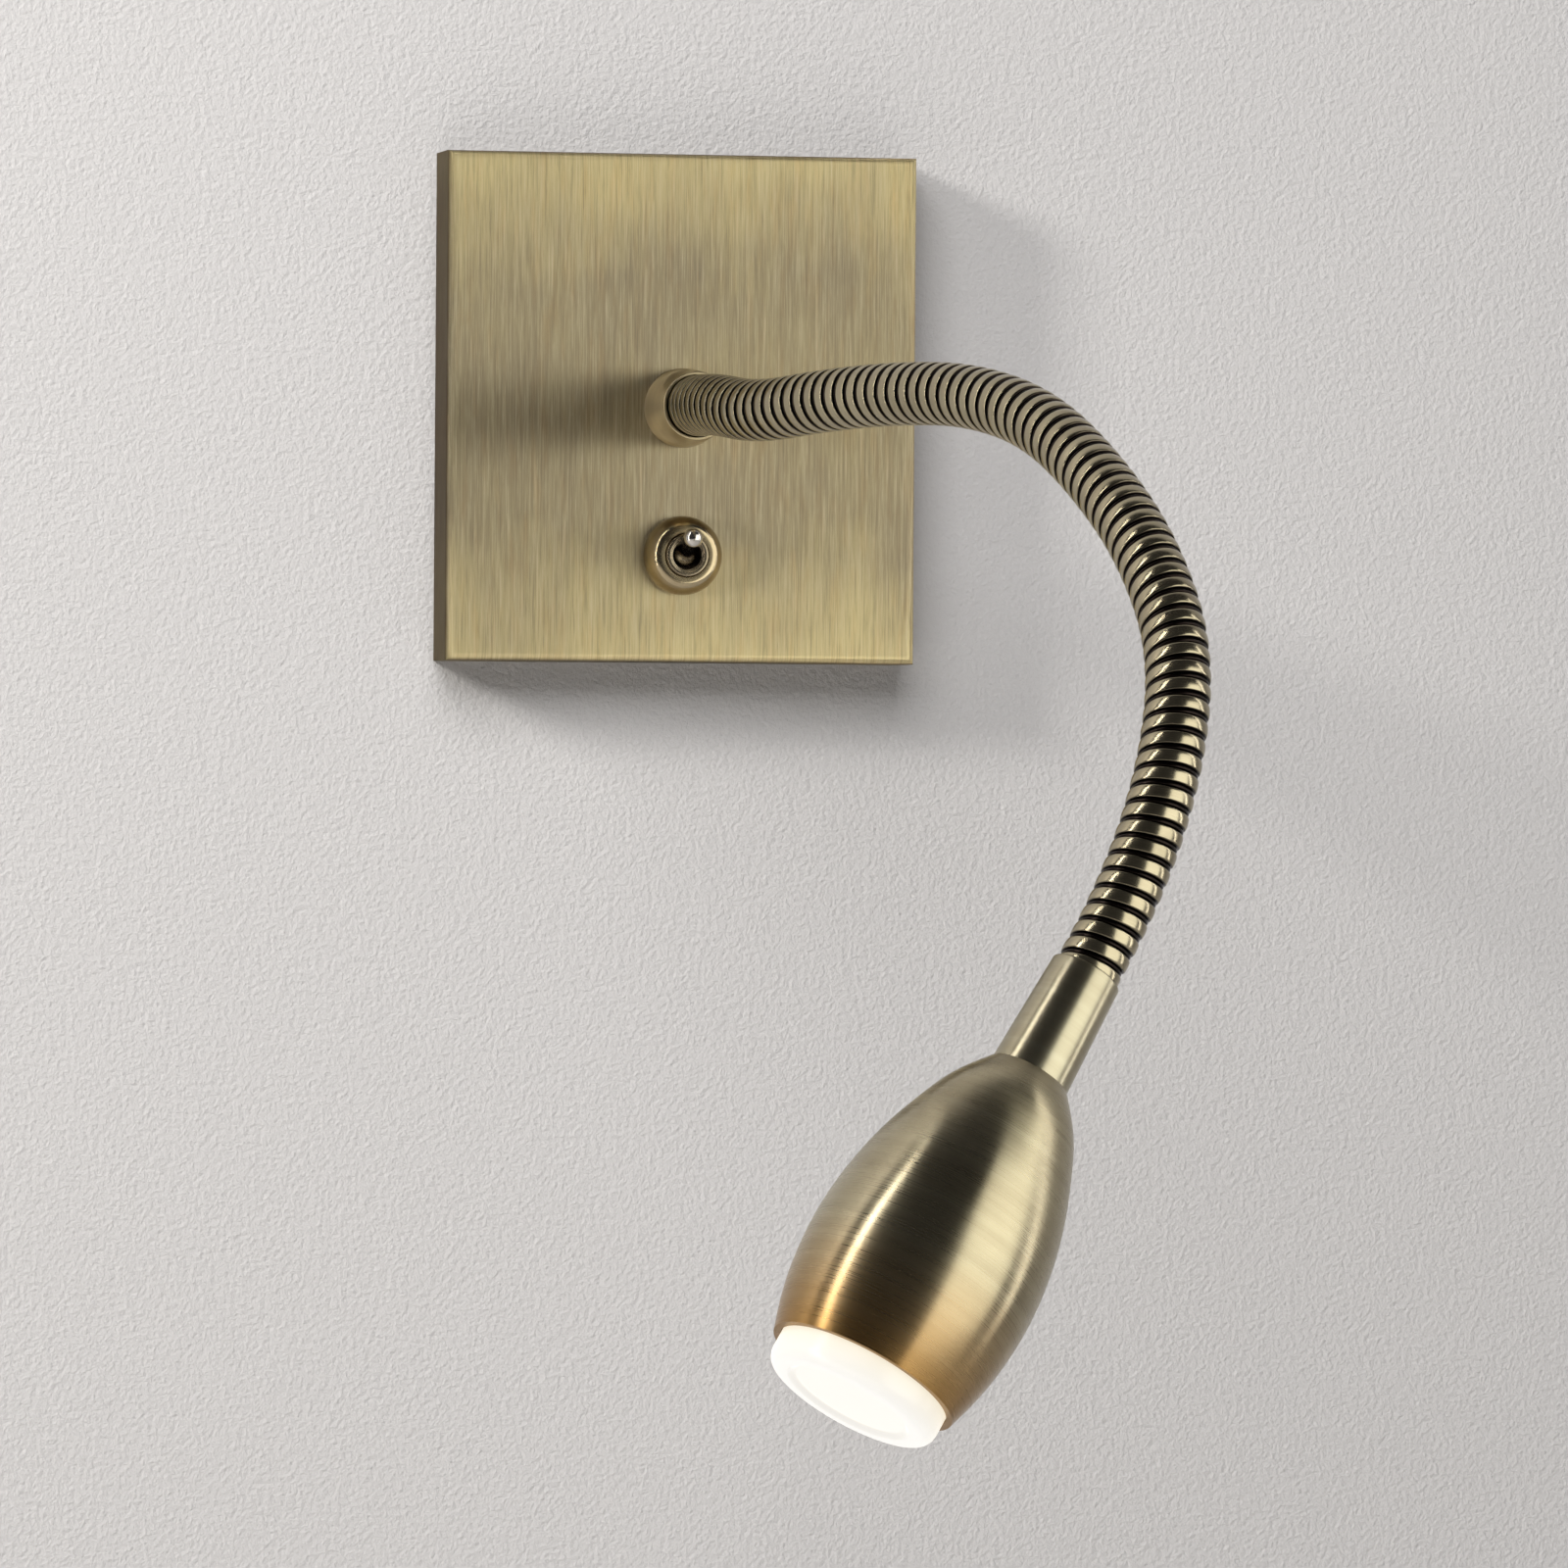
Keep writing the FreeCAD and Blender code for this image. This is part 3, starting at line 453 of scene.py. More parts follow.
@dataclass(frozen=True)
class Moulding:
    """Plastic, rubber or lacquer with a fine moulded grain."""

    name: str
    colour: tuple
    rough: float
    grain: float = 0.35 * MM
    depth: float = 0.02 * MM
    worn: float = 0.8

    def build(self) -> Material:
        """Make the material.

        Returns:
            The material.
        """
        s = Shader(self.name)
        fine = s.noise(s.place((self.grain,) * 3), 2.0, 0.6)
        wide = s.noise(s.place((7 * MM,) * 3), 2.0, 0.5)
        dark = tuple(c * self.worn for c in self.colour)
        s.set(Base_Color=s.mix((0.6 + (wide - 0.5) * 1.2).held(), dark, self.colour),
              Roughness=(self.rough + (fine - 0.5) * 0.2).held(), Normal=s.bump(fine, self.depth, 0.4))
        return s.material


@dataclass(frozen=True)
class EarthStripe:
    """Green insulation with a yellow stripe along it."""

    green: tuple = (0.05, 0.28, 0.05)
    yellow: tuple = (0.75, 0.6, 0.05)

    def build(self) -> Material:
        """Make the material.

        Returns:
            The material.
        """
        s = Shader("earth_insulation")
        up = s.axis(s.place((1 * MM, 1 * MM, 0.9 * MM)), "Z")
        stripe = Value(s, s.node("ShaderNodeMath", {"operation": "SINE"}, {0: up * 3.0}).outputs[0])
        s.set(Base_Color=s.mix(stripe.ramp(0.1, 0.3), self.green, self.yellow), Roughness=0.45)
        return s.material


@dataclass(frozen=True)
class LitOpal:
    """The lit opal lens: white, a touch warmer towards its side, with a faint shadow in the dish's rim."""

    middle: tuple
    turn: tuple
    dish: float
    strength: float = 0.85
    front: tuple = (1.0, 0.985, 0.95)
    side: tuple = (1.0, 0.90, 0.70)
    shade: tuple = (0.80, 0.77, 0.70)
    body: tuple = (0.10, 0.10, 0.095)
    rim: float = 1.1 * MM

    def build(self) -> Material:
        """Make the material.

        Returns:
            The material.
        """
        s = Shader("lit_opal")
        spot = s.place(middle=self.middle, turn=self.turn)
        x, y, z = (s.axis(spot, letter) for letter in "XYZ")
        rim = 1.0 - (abs((x * x + y * y) ** 0.5 - self.dish) / self.rim).held()
        glow = s.mix(z.ramp(-6 * MM, 0.5 * MM), self.side, self.front)
        s.set(Base_Color=self.body, Roughness=0.3, Emission_Color=s.mix(rim * 0.42, glow, self.shade),
              Emission_Strength=self.strength)
        return s.material


# surfaces
def added(name: str, data: bpy.types.ID) -> Object:
    """Put a new object into the scene.

    Args:
        name: its name.
        data: its mesh, light or camera.

    Returns:
        The object.
    """
    made = bpy.data.objects.new(name, data)
    bpy.context.scene.collection.objects.link(made)
    return made


def grid_piece(name: str, points: np.ndarray, closed: tuple[bool, bool], uv: np.ndarray | None = None,
               values: dict[str, np.ndarray] | None = None) -> Object:
    """Make a smooth surface on a grid of points.

    Args:
        name: the piece's name.
        points: rows by columns by 3, in metres.
        closed: whether the last row joins the first, and the last column the first.
        uv: rows by columns by 2, if the piece has its own map.
        values: numbers stored on the points, rows by columns each.

    Returns:
        The new object.
    """
    rows, columns = points.shape[:2]
    r = np.arange(rows if closed[0] else rows - 1)[:, None]
    c = np.arange(columns if closed[1] else columns - 1)[None, :]
    down, over = (r + 1) % rows, (c + 1) % columns
    corners = np.stack([r * columns + c, r * columns + over, down * columns + over, down * columns + c],
                       -1).ravel()
    count = corners.size // 4
    mesh = bpy.data.meshes.new(name)
    mesh.vertices.add(rows * columns)
    mesh.vertices.foreach_set("co", points.astype(np.float32).ravel())
    mesh.loops.add(corners.size)
    mesh.loops.foreach_set("vertex_index", corners.astype(np.int32))
    mesh.polygons.add(count)
    mesh.polygons.foreach_set("loop_start", np.arange(count, dtype=np.int32) * 4)
    mesh.polygons.foreach_set("use_smooth", np.ones(count, bool))
    if uv is not None:
        layer = mesh.uv_layers.new(name="along")
        layer.data.foreach_set("uv", uv.reshape(-1, 2)[corners].astype(np.float32).ravel())
    for key, value in (values or {}).items():
        stored = mesh.attributes.new(key, "FLOAT", "POINT")
        stored.data.foreach_set("value", value.astype(np.float32).ravel())
    mesh.update(calc_edges=True)
    mesh.validate()
    return added(name, mesh)


def weld(piece: Object, distance: float, closed: bool) -> None:
    """Join a piece's points and shade it smooth.

    Args:
        piece: the piece.
        distance: how near points are joined, in metres.
        closed: whether it is a closed piece, which also loses slivers and gets its faces turned outwards.
    """
    work = bmesh.new()
    work.from_mesh(piece.data)
    bmesh.ops.remove_doubles(work, verts=work.verts, dist=distance)
    if closed:
        bmesh.ops.dissolve_degenerate(work, edges=work.edges, dist=0.001 * MM)
        bmesh.ops.recalc_face_normals(work, faces=work.faces)
    work.to_mesh(piece.data)
    work.free()
    piece.data.polygons.foreach_set("use_smooth", np.ones(len(piece.data.polygons), bool))


def tidy(piece: Object, sharp: float) -> Object:
    """Weld a closed piece and keep its sharp edges crisp.

    Args:
        piece: the piece.
        sharp: the angle in degrees from which an edge is crisp.

    Returns:
        The piece.
    """
    weld(piece, 0.002 * MM, True)
    piece.data.set_sharp_from_angle(angle=math.radians(sharp))
    return piece


def spline(points: list[tuple[float, float]], count: int) -> np.ndarray:
    """A smooth line through points: cubic pieces with even bending where they meet, natural at the ends.

    Args:
        points: the points it goes through.
        count: how many points to work out along it.

    Returns:
        The line's points, count by 2.
    """
    p = np.array(points, float)
    t = np.r_[0, np.cumsum(np.linalg.norm(np.diff(p, axis=0), axis=1))]
    n, h = len(p), np.diff(t)
    system, right = np.eye(n), np.zeros((n, 2))
    for i in range(1, n - 1):
        system[i, i - 1:i + 2] = h[i - 1], 2 * (h[i - 1] + h[i]), h[i]
        right[i] = 6 * ((p[i + 1] - p[i]) / h[i] - (p[i] - p[i - 1]) / h[i - 1])
    bend = np.linalg.solve(system, right)
    at = np.linspace(0, t[-1], count)
    i = np.clip(np.searchsorted(t, at, side="right") - 1, 0, n - 2)
    a, b, w = (t[i + 1] - at)[:, None], (at - t[i])[:, None], h[i][:, None]
    return (bend[i] * a ** 3 + bend[i + 1] * b ** 3) / (6 * w) + \
        (p[i] / w - bend[i] * w / 6) * a + (p[i + 1] / w - bend[i + 1] * w / 6) * b


def rounded(corners: list[tuple[float, float]], radii: list[float], steps: int = 6) -> np.ndarray:
    """A line through corners with each one rounded: an arc tangent to both of its sides.

    Args:
        corners: the corners, in order.
        radii: how far back from each corner its rounding starts; 0 leaves it sharp.
        steps: points on each rounding.

    Returns:
        The line's points.
    """
    p = np.array(corners, float)
    out = [p[:1]]
    for before, corner, after, trim in zip(p, p[1:], p[2:], radii[1:-1]):
        if trim <= 0:
            out.append(corner[None])
            continue
        a = corner + (before - corner) / np.linalg.norm(before - corner) * trim
        b = corner + (after - corner) / np.linalg.norm(after - corner) * trim
        t = np.linspace(0, 1, steps)[:, None]
        out.append(a * (1 - t) ** 2 + corner * 2 * t * (1 - t) + b * t ** 2)
    out.append(p[-1:])
    return np.vstack(out)


@dataclass(frozen=True)
class Axis:
    """A line in space that a turned piece is made round."""

    start: np.ndarray
    along: np.ndarray

    def sides(self) -> tuple[np.ndarray, np.ndarray]:
        """Work out two directions square to it and to each other, right-handed with it.

        Returns:
            The two directions.
        """
        helper = np.array([1.0, 0, 0]) if abs(self.along[0]) < 0.8 else np.array([0, 0, 1.0])
        first = np.cross(helper, self.along)
        first /= np.linalg.norm(first)
        return first, np.cross(self.along, first)

    def lathe(self, name: str, profile: np.ndarray, around: int, sharp: float) -> Object:
        """A closed piece turned round the axis.

        A point at radius r and height z goes to start + z along + r (cos a side + sin a other side), for
        evenly spaced angles a. The profile is a closed loop, and its points on the axis are welded.

        Args:
            name: the piece's name.
            profile: radius and height of each point, in metres.
            around: how many steps go round.
            sharp: edges sharper than this many degrees stay crisp.

        Returns:
            The piece.
        """
        first, second = self.sides()
        angle = np.arange(around) / around * TAU
        ring = np.cos(angle)[:, None] * first + np.sin(angle)[:, None] * second
        points = self.start + profile[:, None, 1:2] * self.along + profile[:, None, 0:1] * ring[None]
        return tidy(grid_piece(name, points, (True, True)), sharp)

    def euler(self) -> tuple[float, float, float]:
        """The turn that brings Z onto the axis."""
        return tuple(Vector(self.along).to_track_quat("Z", "Y").to_euler())


def loop(*parts: object) -> np.ndarray:
    """Stretches of an outline in millimetres joined into one, in metres."""
    return np.vstack([np.atleast_2d(np.array(part, float)) for part in parts]) * MM


def fit_out(piece: Object, slot: str, material: Material, body: str,
            *nodes: str) -> Object:
    """Dress a finished piece and tie it to the frame.

    Args:
        piece: the piece.
        slot: its material slot; not used.
        material: its finish.
        body: the body that it moves with.
        nodes: the CAD nodes that it stands for.

    Returns:
        The piece.
    """
    piece.data.materials.clear()
    piece.data.materials.append(material)
    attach(piece, body)
    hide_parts(*nodes)
    LOG.info("made %s with %d faces", piece.name, len(piece.data.polygons))
    return piece


def refined(node: str, name: str, sharp: float) -> Object:
    """Copy a CAD node's mesh, welded and smooth-shaded.

    Args:
        node: the node.
        name: the copy's name.
        sharp: edges sharper than this many degrees stay crisp.

    Returns:
        The copy.
    """
    made = added(name, FRAME["nodes"][node].data.copy())
    made.data.name = name
    return tidy(made, sharp)


# the arm
@dataclass
class Route:
    """The arm's middle line: a straight start, even bends of one link each, and a straight end."""

    plate_depth: float = 14 * MM
    collar_length: float = 14 * MM
    socket: float = 8 * MM
    straight: float = 4 * MM
    pitch: float = 3.5 * MM
    turns: int = 7
    starts: np.ndarray = field(init=False)
    ways: np.ndarray = field(init=False)
    sides: np.ndarray = field(init=False)
    bends: np.ndarray = field(init=False)
    lengths: np.ndarray = field(init=False)
    frames: np.ndarray = field(init=False)

    def __post_init__(self) -> None:
        """Work out where each stretch starts, its direction there, and the side it bends to."""
        angles = np.radians(np.array(ARM_HEADINGS, float))
        pan, dip = angles.T
        way = np.stack([np.sin(pan) * np.cos(dip), -np.cos(pan) * np.cos(dip), -np.sin(dip)], 1)
        before = np.vstack([way[:1], way[:-1], way[-1:]])
        after = np.vstack([way[:1], way[1:], way[-1:]])
        self.bends = np.arccos(np.clip((before * after).sum(1), -1, 1))
        side = after - before * np.cos(self.bends)[:, None]
        flat = self.bends < 1e-6
        side[flat] = np.cross(before[flat], np.array([0.0, 0.0, 1.0]))
        self.sides = side / np.linalg.norm(side, axis=1)[:, None]
        stub = self.socket + self.straight
        self.lengths = np.r_[stub, np.full(len(way) - 1, self.turns * self.pitch), stub]
        self.ways = before
        spot = np.array([0.0, -(self.plate_depth + self.collar_length - self.socket), 0.0])
        across = np.array([0.0, 0.0, 1.0])
        spots, frames = [], []
        for n in range(len(before)):
            spots.append(spot)
            frames.append(across)
            spot = self._along(n, spot, np.array([self.lengths[n]]))[0]
            normal = np.cross(before[n], self.sides[n])
            turned = self.sides[n] * np.cos(self.bends[n]) - before[n] * np.sin(self.bends[n])
            across = (across @ self.sides[n]) * turned + (across @ normal) * normal
        self.starts, self.frames = np.array(spots), np.array(frames)

    def _along(self, n: int, start: np.ndarray, distance: np.ndarray) -> np.ndarray:
        """Points of one stretch.

        Args:
            n: which stretch.
            start: where it starts.
            distance: how far along it each point is.

        Returns:
            The points.
        """
        if self.bends[n] < 1e-6:
            return start + distance[:, None] * self.ways[n]
        radius = self.lengths[n] / self.bends[n]
        angle = distance / radius
        return start + radius * (np.sin(angle)[:, None] * self.ways[n]
                                 + (1 - np.cos(angle))[:, None] * self.sides[n])

    @property
    def length(self) -> float:
        """The whole length, with what is hidden in the collar and the neck."""
        return float(self.lengths.sum())

    def at(self, distance: np.ndarray) -> tuple[np.ndarray, ...]:
        """The line at distances from its start.

        Within a stretch the line is an arc: its point is the start plus the radius times (sin a) of its
        first direction and (1 - cos a) of its side, and the directions across it turn by the same a.

        Args:
            distance: any shape, in metres.

        Returns:
            Points, directions along, two directions across, and the pull of the bend (the side that it
            bends to, over its radius), each with 3 more numbers on its last axis.
        """
        shape = distance.shape
        d = np.clip(distance.ravel(), 0, self.length)
        edges = np.r_[0, np.cumsum(self.lengths)]
        n = np.clip(np.searchsorted(edges, d, side="right") - 1, 0, len(self.lengths) - 1)
        local = (d - edges[n]) / self.lengths[n]
        bend = np.maximum(self.bends[n], 1e-7)
        angle = (local * bend)[:, None]
        radius = (self.lengths[n] / bend)[:, None]
        way, side = self.ways[n], self.sides[n]
        points = self.starts[n] + radius * (np.sin(angle) * way + 2 * np.sin(angle / 2) ** 2 * side)
        along = np.cos(angle) * way + np.sin(angle) * side
        inward = np.cos(angle) * side - np.sin(angle) * way
        normal = np.cross(way, side)
        first = (self.frames[n] * side).sum(1)[:, None] * inward + \
            (self.frames[n] * normal).sum(1)[:, None] * normal
        second = np.cross(along, first)
        pull = inward / radius
        return tuple(a.reshape(*shape, 3) for a in (points, along, first, second, pull))

    def hinge(self, n: int) -> float:
        """How far along the line hinge n is, counted from 1."""
        return float(self.lengths[:n].sum())


@dataclass
class Gooseneck:
    """Two wires wound round each other: a broad outer one with a rounded face and a thin one in its gap."""

    route: Route
    radius: float = 6.0 * MM
    flat: float = 2.5 * MM
    edge: float = 0.3 * MM
    crown: float = 0.15 * MM
    floor: float = 1.25 * MM
    thin_radius: float = 0.36 * MM
    thin_top: float = 0.36 * MM
    around: int = 72
    rigid: float = 1.9 * MM
    clear: float = 0.5 * MM

    def relief(self, share: np.ndarray, gap: np.ndarray) -> tuple[np.ndarray, np.ndarray]:
        """Half of one turn's cross-section, from the middle of the gap to the middle of the broad wire.

        In the gap the depth is the floor, or the thin wire's round back where that is nearer; on the broad
        wire it is the crown times (offset over half the flat) squared, plus a quarter circle at the edge.
        A share below 1 is a part of the gap's half width, and from 1 to 2 a part of the flat's.

        Args:
            share: from 0 at the middle of the gap, over 1 at the broad wire's edge, to 2 at its middle.
            gap: half the gap's width, which is larger outside a bend.

        Returns:
            Distance from the middle of the gap, and depth below the full radius, in metres.
        """
        half = self.flat / 2
        in_gap = np.minimum(share, 1.0) * gap
        on_flat = np.maximum(share - 1.0, 0.0) * half
        round_back = self.thin_radius ** 2 - np.minimum(in_gap, self.thin_radius) ** 2
        thin = self.thin_top + self.thin_radius - np.sqrt(round_back)
        low = np.where(in_gap < self.thin_radius * 0.995, np.minimum(thin, self.floor), self.floor)
        over = np.clip(1 - on_flat / self.edge, 0, 1)
        top = self.crown * (1 - on_flat / half) ** 2 + self.edge * (1 - np.sqrt(1 - over ** 2))
        return in_gap + on_flat, np.where(share < 0.999, low, top)

    def surface(self, first: float, last: float) -> tuple[np.ndarray, ...]:
        """A run of turns, as a grid that follows the wire.

        At turn angle a and distance x across a turn, the place along the line is the pitch times
        a / 2 pi, plus x over the local stretch, and the point lies out from the line at angle a by the
        radius less the relief.

        Args:
            first: the turn that it starts at.
            last: the turn that it ends at.

        Returns:
            Points, map places, and depths from 0 to 1.
        """
        route = self.route
        turns = np.linspace(first, last, int(round((last - first) * self.around)) + 1)[:, None]
        angle = TAU * turns
        _, _, one, two, pull = route.at(route.pitch * (turns + 0.5))
        out = np.cos(angle)[..., None] * one + np.sin(angle)[..., None] * two
        stretch = 1 - (pull * out).sum(-1) * self.radius
        gap = np.maximum(route.pitch * stretch - self.flat, 0.1 * MM) / 2
        across = 2 * gap + self.flat
        x, deep = self.relief(TURN_SHARES, gap)
        x, deep = np.hstack([x, across - x[:, -2::-1]]), np.hstack([deep, deep[:, -2::-1]])
        distance = route.pitch * (turns + x / across)
        middle, along, one, two, _ = route.at(distance)
        out = np.cos(angle)[..., None] * one + np.sin(angle)[..., None] * two
        points = middle + out * (self.radius - deep)[..., None]
        uv = np.stack(np.broadcast_arrays(angle * self.radius, x), -1)
        return points, uv, deep / self.floor

    def build(self, bodies: list[str]) -> None:
        """Make one piece for each hinge, from the middle of one link to the middle of the next.

        Args:
            bodies: the bodies along the arm, from the wall's to the head's.
        """
        material = WoundBrass().build()
        route = self.route
        hinges = [route.hinge(n) for n in range(1, len(bodies))]
        splits = [self.clear] + [(a + b) / 2 for a, b in zip(hinges, hinges[1:])]
        splits.append(route.length - self.clear)
        first_turns = [math.ceil(s / route.pitch * self.around) / self.around - 0.5 for s in splits]
        first_turns[0] += 0.5
        first_turns[-1] -= 0.5
        nodes = {0: ["gooseneck_root"], len(hinges) - 1: ["gooseneck_tip"]}
        for n, hinge in enumerate(hinges):
            points, uv, depth = self.surface(first_turns[n], first_turns[n + 1])
            piece = grid_piece(f"gooseneck_turns_{n + 1:02d}", points, (False, False), uv, {"depth": depth})
            weld(piece, 0.004 * MM, False)
            start = splits[n] + self.rigid if n else hinge - route.straight + self.clear
            end = splits[n + 1] - self.rigid if n + 1 < len(hinges) else hinge + route.straight - self.clear
            spots = route.at(np.array([start, end]))[0]
            piece.data.materials.append(material)
            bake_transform(piece)
            stands_for = nodes.get(n, []) + ([f"gooseneck_{n + 1:02d}"] if n + 1 < len(hinges) else [])
            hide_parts(*stands_for)
            LOG.info("made %s with %d faces", piece.name, len(piece.data.polygons))


@dataclass
class Head:
    """The spotlight: neck, bullet-shaped shell, opal lens, and what they hold."""

    axis: Axis
    neck: float = 22.0
    shell: float = 63.0
    wall: float = 1.2
    proud: float = 5.5
    lens_radius: float = 16.3
    lens_round: float = 2.8
    dish_radius: float = 11.5
    dish_depth: float = 0.8
    socket: float = 8.0

    def build(self) -> None:
        """Make and dress the head's visible pieces."""
        axis = self.axis
        turn = axis.euler()
        middle = tuple(axis.start)
        # the head's finish carries a painted warm glow from the lens towards the shell's rim
        brushed = TurnedBrass("head_brass_finish", middle, turn, (0.48, 0.43, 0.295), (0.22, 0.175, 0.105),
                              rough=0.28, mark=0.25, stretch=0.8, ring=0.2 * MM,
                              painted_glow_at=(self.neck + self.shell) * MM).build()
        polished = TurnedBrass("neck_brass_finish", middle, turn, (0.46, 0.43, 0.315), (0.24, 0.195, 0.12),
                               rough=0.3, mark=0.05, stretch=0.5, ring=0.15 * MM).build()
        top, deep = self.neck - 0.02, self.socket
        neck = rounded([(6.1, deep), (6.1, 0), (6.6, 0), (7.4, top), (5.05, top), (5.05, deep), (6.1, deep)],
                       [0, 0.25, 0.45, 0.12, 0, 0, 0])
        fit_out(axis.lathe("neck_ferrule", loop(neck), 128, 40), "turned_brass", polished, "head", "neck")
        outer = spline(SHELL_OUTLINE, 90)
        inner = spline([(2.0, 8.4)] + [(a, r - self.wall) for a, r in SHELL_OUTLINE[1:]], 60)[::-1]
        outer, inner = outer[:, ::-1] + (0, self.neck), inner[:, ::-1] + (0, self.neck)
        rim = [(outer[-1, 0] - 0.25, outer[-1, 1]), (inner[0, 0] + 0.2, inner[0, 1])]
        top = [(5.1, self.neck + 2.0), (5.1, self.neck)]
        fit_out(axis.lathe("head_shell_turned", loop(outer, rim, inner, top), 192, 40), "head_brass", brushed,
                "head", "head_shell")
        front = self.neck + self.shell + self.proud
        face = self.neck + 55.0
        r, q, d = self.lens_radius, self.lens_round, self.dish_radius
        low, back = front - self.dish_depth, front - 2.8
        lens = rounded([(r - 2, face), (r, face), (r, front), (d + 0.5, front), (d - 0.5, low), (0, low),
                        (0, back), (r - 2, back), (r - 2, face)], [0, 0, q, 0.3, 0.3, 0, 0, 0, 0], 10)
        lens_middle = tuple(axis.start + axis.along * front * MM)
        glow = LitOpal(lens_middle, turn, d * MM).build()
        fit_out(axis.lathe("lens_lit", loop(lens), 128, 40), "opal", glow, "head", "diffuser")


@dataclass
class Wall:
    """What is on the wall: plate, collar and the visible parts of the toggle switch."""

    face: float = 14 * MM
    switch_up: float = -29 * MM
    pivot: float = 16 * MM
    tilt: float = 20.0

    def build(self) -> None:
        """Make and dress the pieces."""
        out = np.array([0.0, -1.0, 0.0])
        arm = Axis(np.array([0.0, -self.face, 0.0]), out)
        switch = Axis(np.array([0.0, -self.face, self.switch_up]), out)
        turned = TurnedBrass("collar_finish", tuple(arm.start), arm.euler(), (0.62, 0.52, 0.32),
                             (0.34, 0.27, 0.16), rough=0.34, mark=0.1, stretch=0.95).build()
        nut_brass = TurnedBrass("dress_nut_finish", tuple(switch.start), switch.euler(), (0.48, 0.40, 0.25),
                                (0.26, 0.20, 0.12), rough=0.2, mark=0.08, stretch=0.6,
                                ring=0.2 * MM).build()
        plate = refined("wall_plate", "wall_plate_folded", 25)
        even = plate.modifiers.new("flat_faces_stay_flat", "WEIGHTED_NORMAL")
        even.keep_sharp, even.weight = True, 100
        fit_out(plate, "plate_brass", BrushedPlate().build(), "base", "wall_plate")
        collar = rounded([(5.05, 0), (7.8, 0), (7.8, 1.2), (6.7, 14), (6.1, 14), (6.1, 6), (5.05, 6),
                          (5.05, 0)], [0, 0.15, 0.8, 0.25, 0.12, 0, 0, 0])
        fit_out(arm.lathe("collar_turned", loop(collar), 128, 40), "turned_brass", turned, "base", "collar")
        dome = rounded([(4.2, 0.02), (7.8, 0.02), (7.8, 2.2), (6.0, 4.9), (4.2, 4.9), (4.2, 0.02)],
                       [0, 0.2, 1.6, 0.9, 0.3, 0], 12)
        fit_out(switch.lathe("dress_nut_domed", loop(dome), 128, 45), "turned_brass", nut_brass, "base",
                "switch_dress_nut")
        nickel = PlainMetal("nickel", (0.60, 0.57, 0.52), 0.14, 0.5 * MM).build()
        self.bushing(switch, PlainMetal("dark_nickel", (0.33, 0.275, 0.19), 0.2, 0.5 * MM).build())
        self.lever(nickel)

    def bushing(self, switch: Axis, nickel: Material) -> None:
        """Make the switch's threaded bushing: a fine thread outside and a stepped bore.

        Args:
            switch: the switch's middle line.
            nickel: its finish.
        """
        back, front = -5.0, 5.9
        turns = np.linspace(back, front - 0.5, 60)
        thread = np.stack([4.15 - 0.12 * (np.arange(60) % 2), turns], 1)
        rest = rounded([(4.1, front - 0.45), (4.1, front), (3.35, front), (3.2, front - 0.6),
                        (2.9, front - 0.6), (2.9, back + 1.5), (0, back + 1.5), (0, back)],
                       [0, 0.2, 0.15, 0.1, 0.1, 0, 0, 0])
        fit_out(switch.lathe("bushing_threaded", loop(thread, rest), 96, 30), "chrome", nickel, "base",
                "switch_bushing")

    def lever(self, nickel: Material) -> None:
        """Make the toggle: a ball, a slim waist that widens, and a rounded end.

        Args:
            nickel: its finish.
        """
        tilt = math.radians(self.tilt)
        axis = Axis(np.array([0.0, -self.pivot, self.switch_up]),
                    np.array([0.0, -math.cos(tilt), math.sin(tilt)]))
        ball = np.linspace(-math.pi / 2, 0.9, 16)
        tip = np.linspace(-0.95, math.pi / 2, 20)
        outline = np.vstack([
            np.stack([2.3 * np.cos(ball), 2.3 * np.sin(ball)], 1),
            spline([(1.2, 2.4), (1.16, 4.5), (1.25, 7.0), (1.45, 8.4)], 12),
            np.stack([1.9 * np.cos(tip), 9.5 + 1.9 * np.sin(tip)], 1),
        ])
        outline[0, 0] = outline[-1, 0] = 0.0
        fit_out(axis.lathe("toggle_lever", loop(outline), 64, 60), "chrome", nickel, "switch_lever",
                "switch_lever")


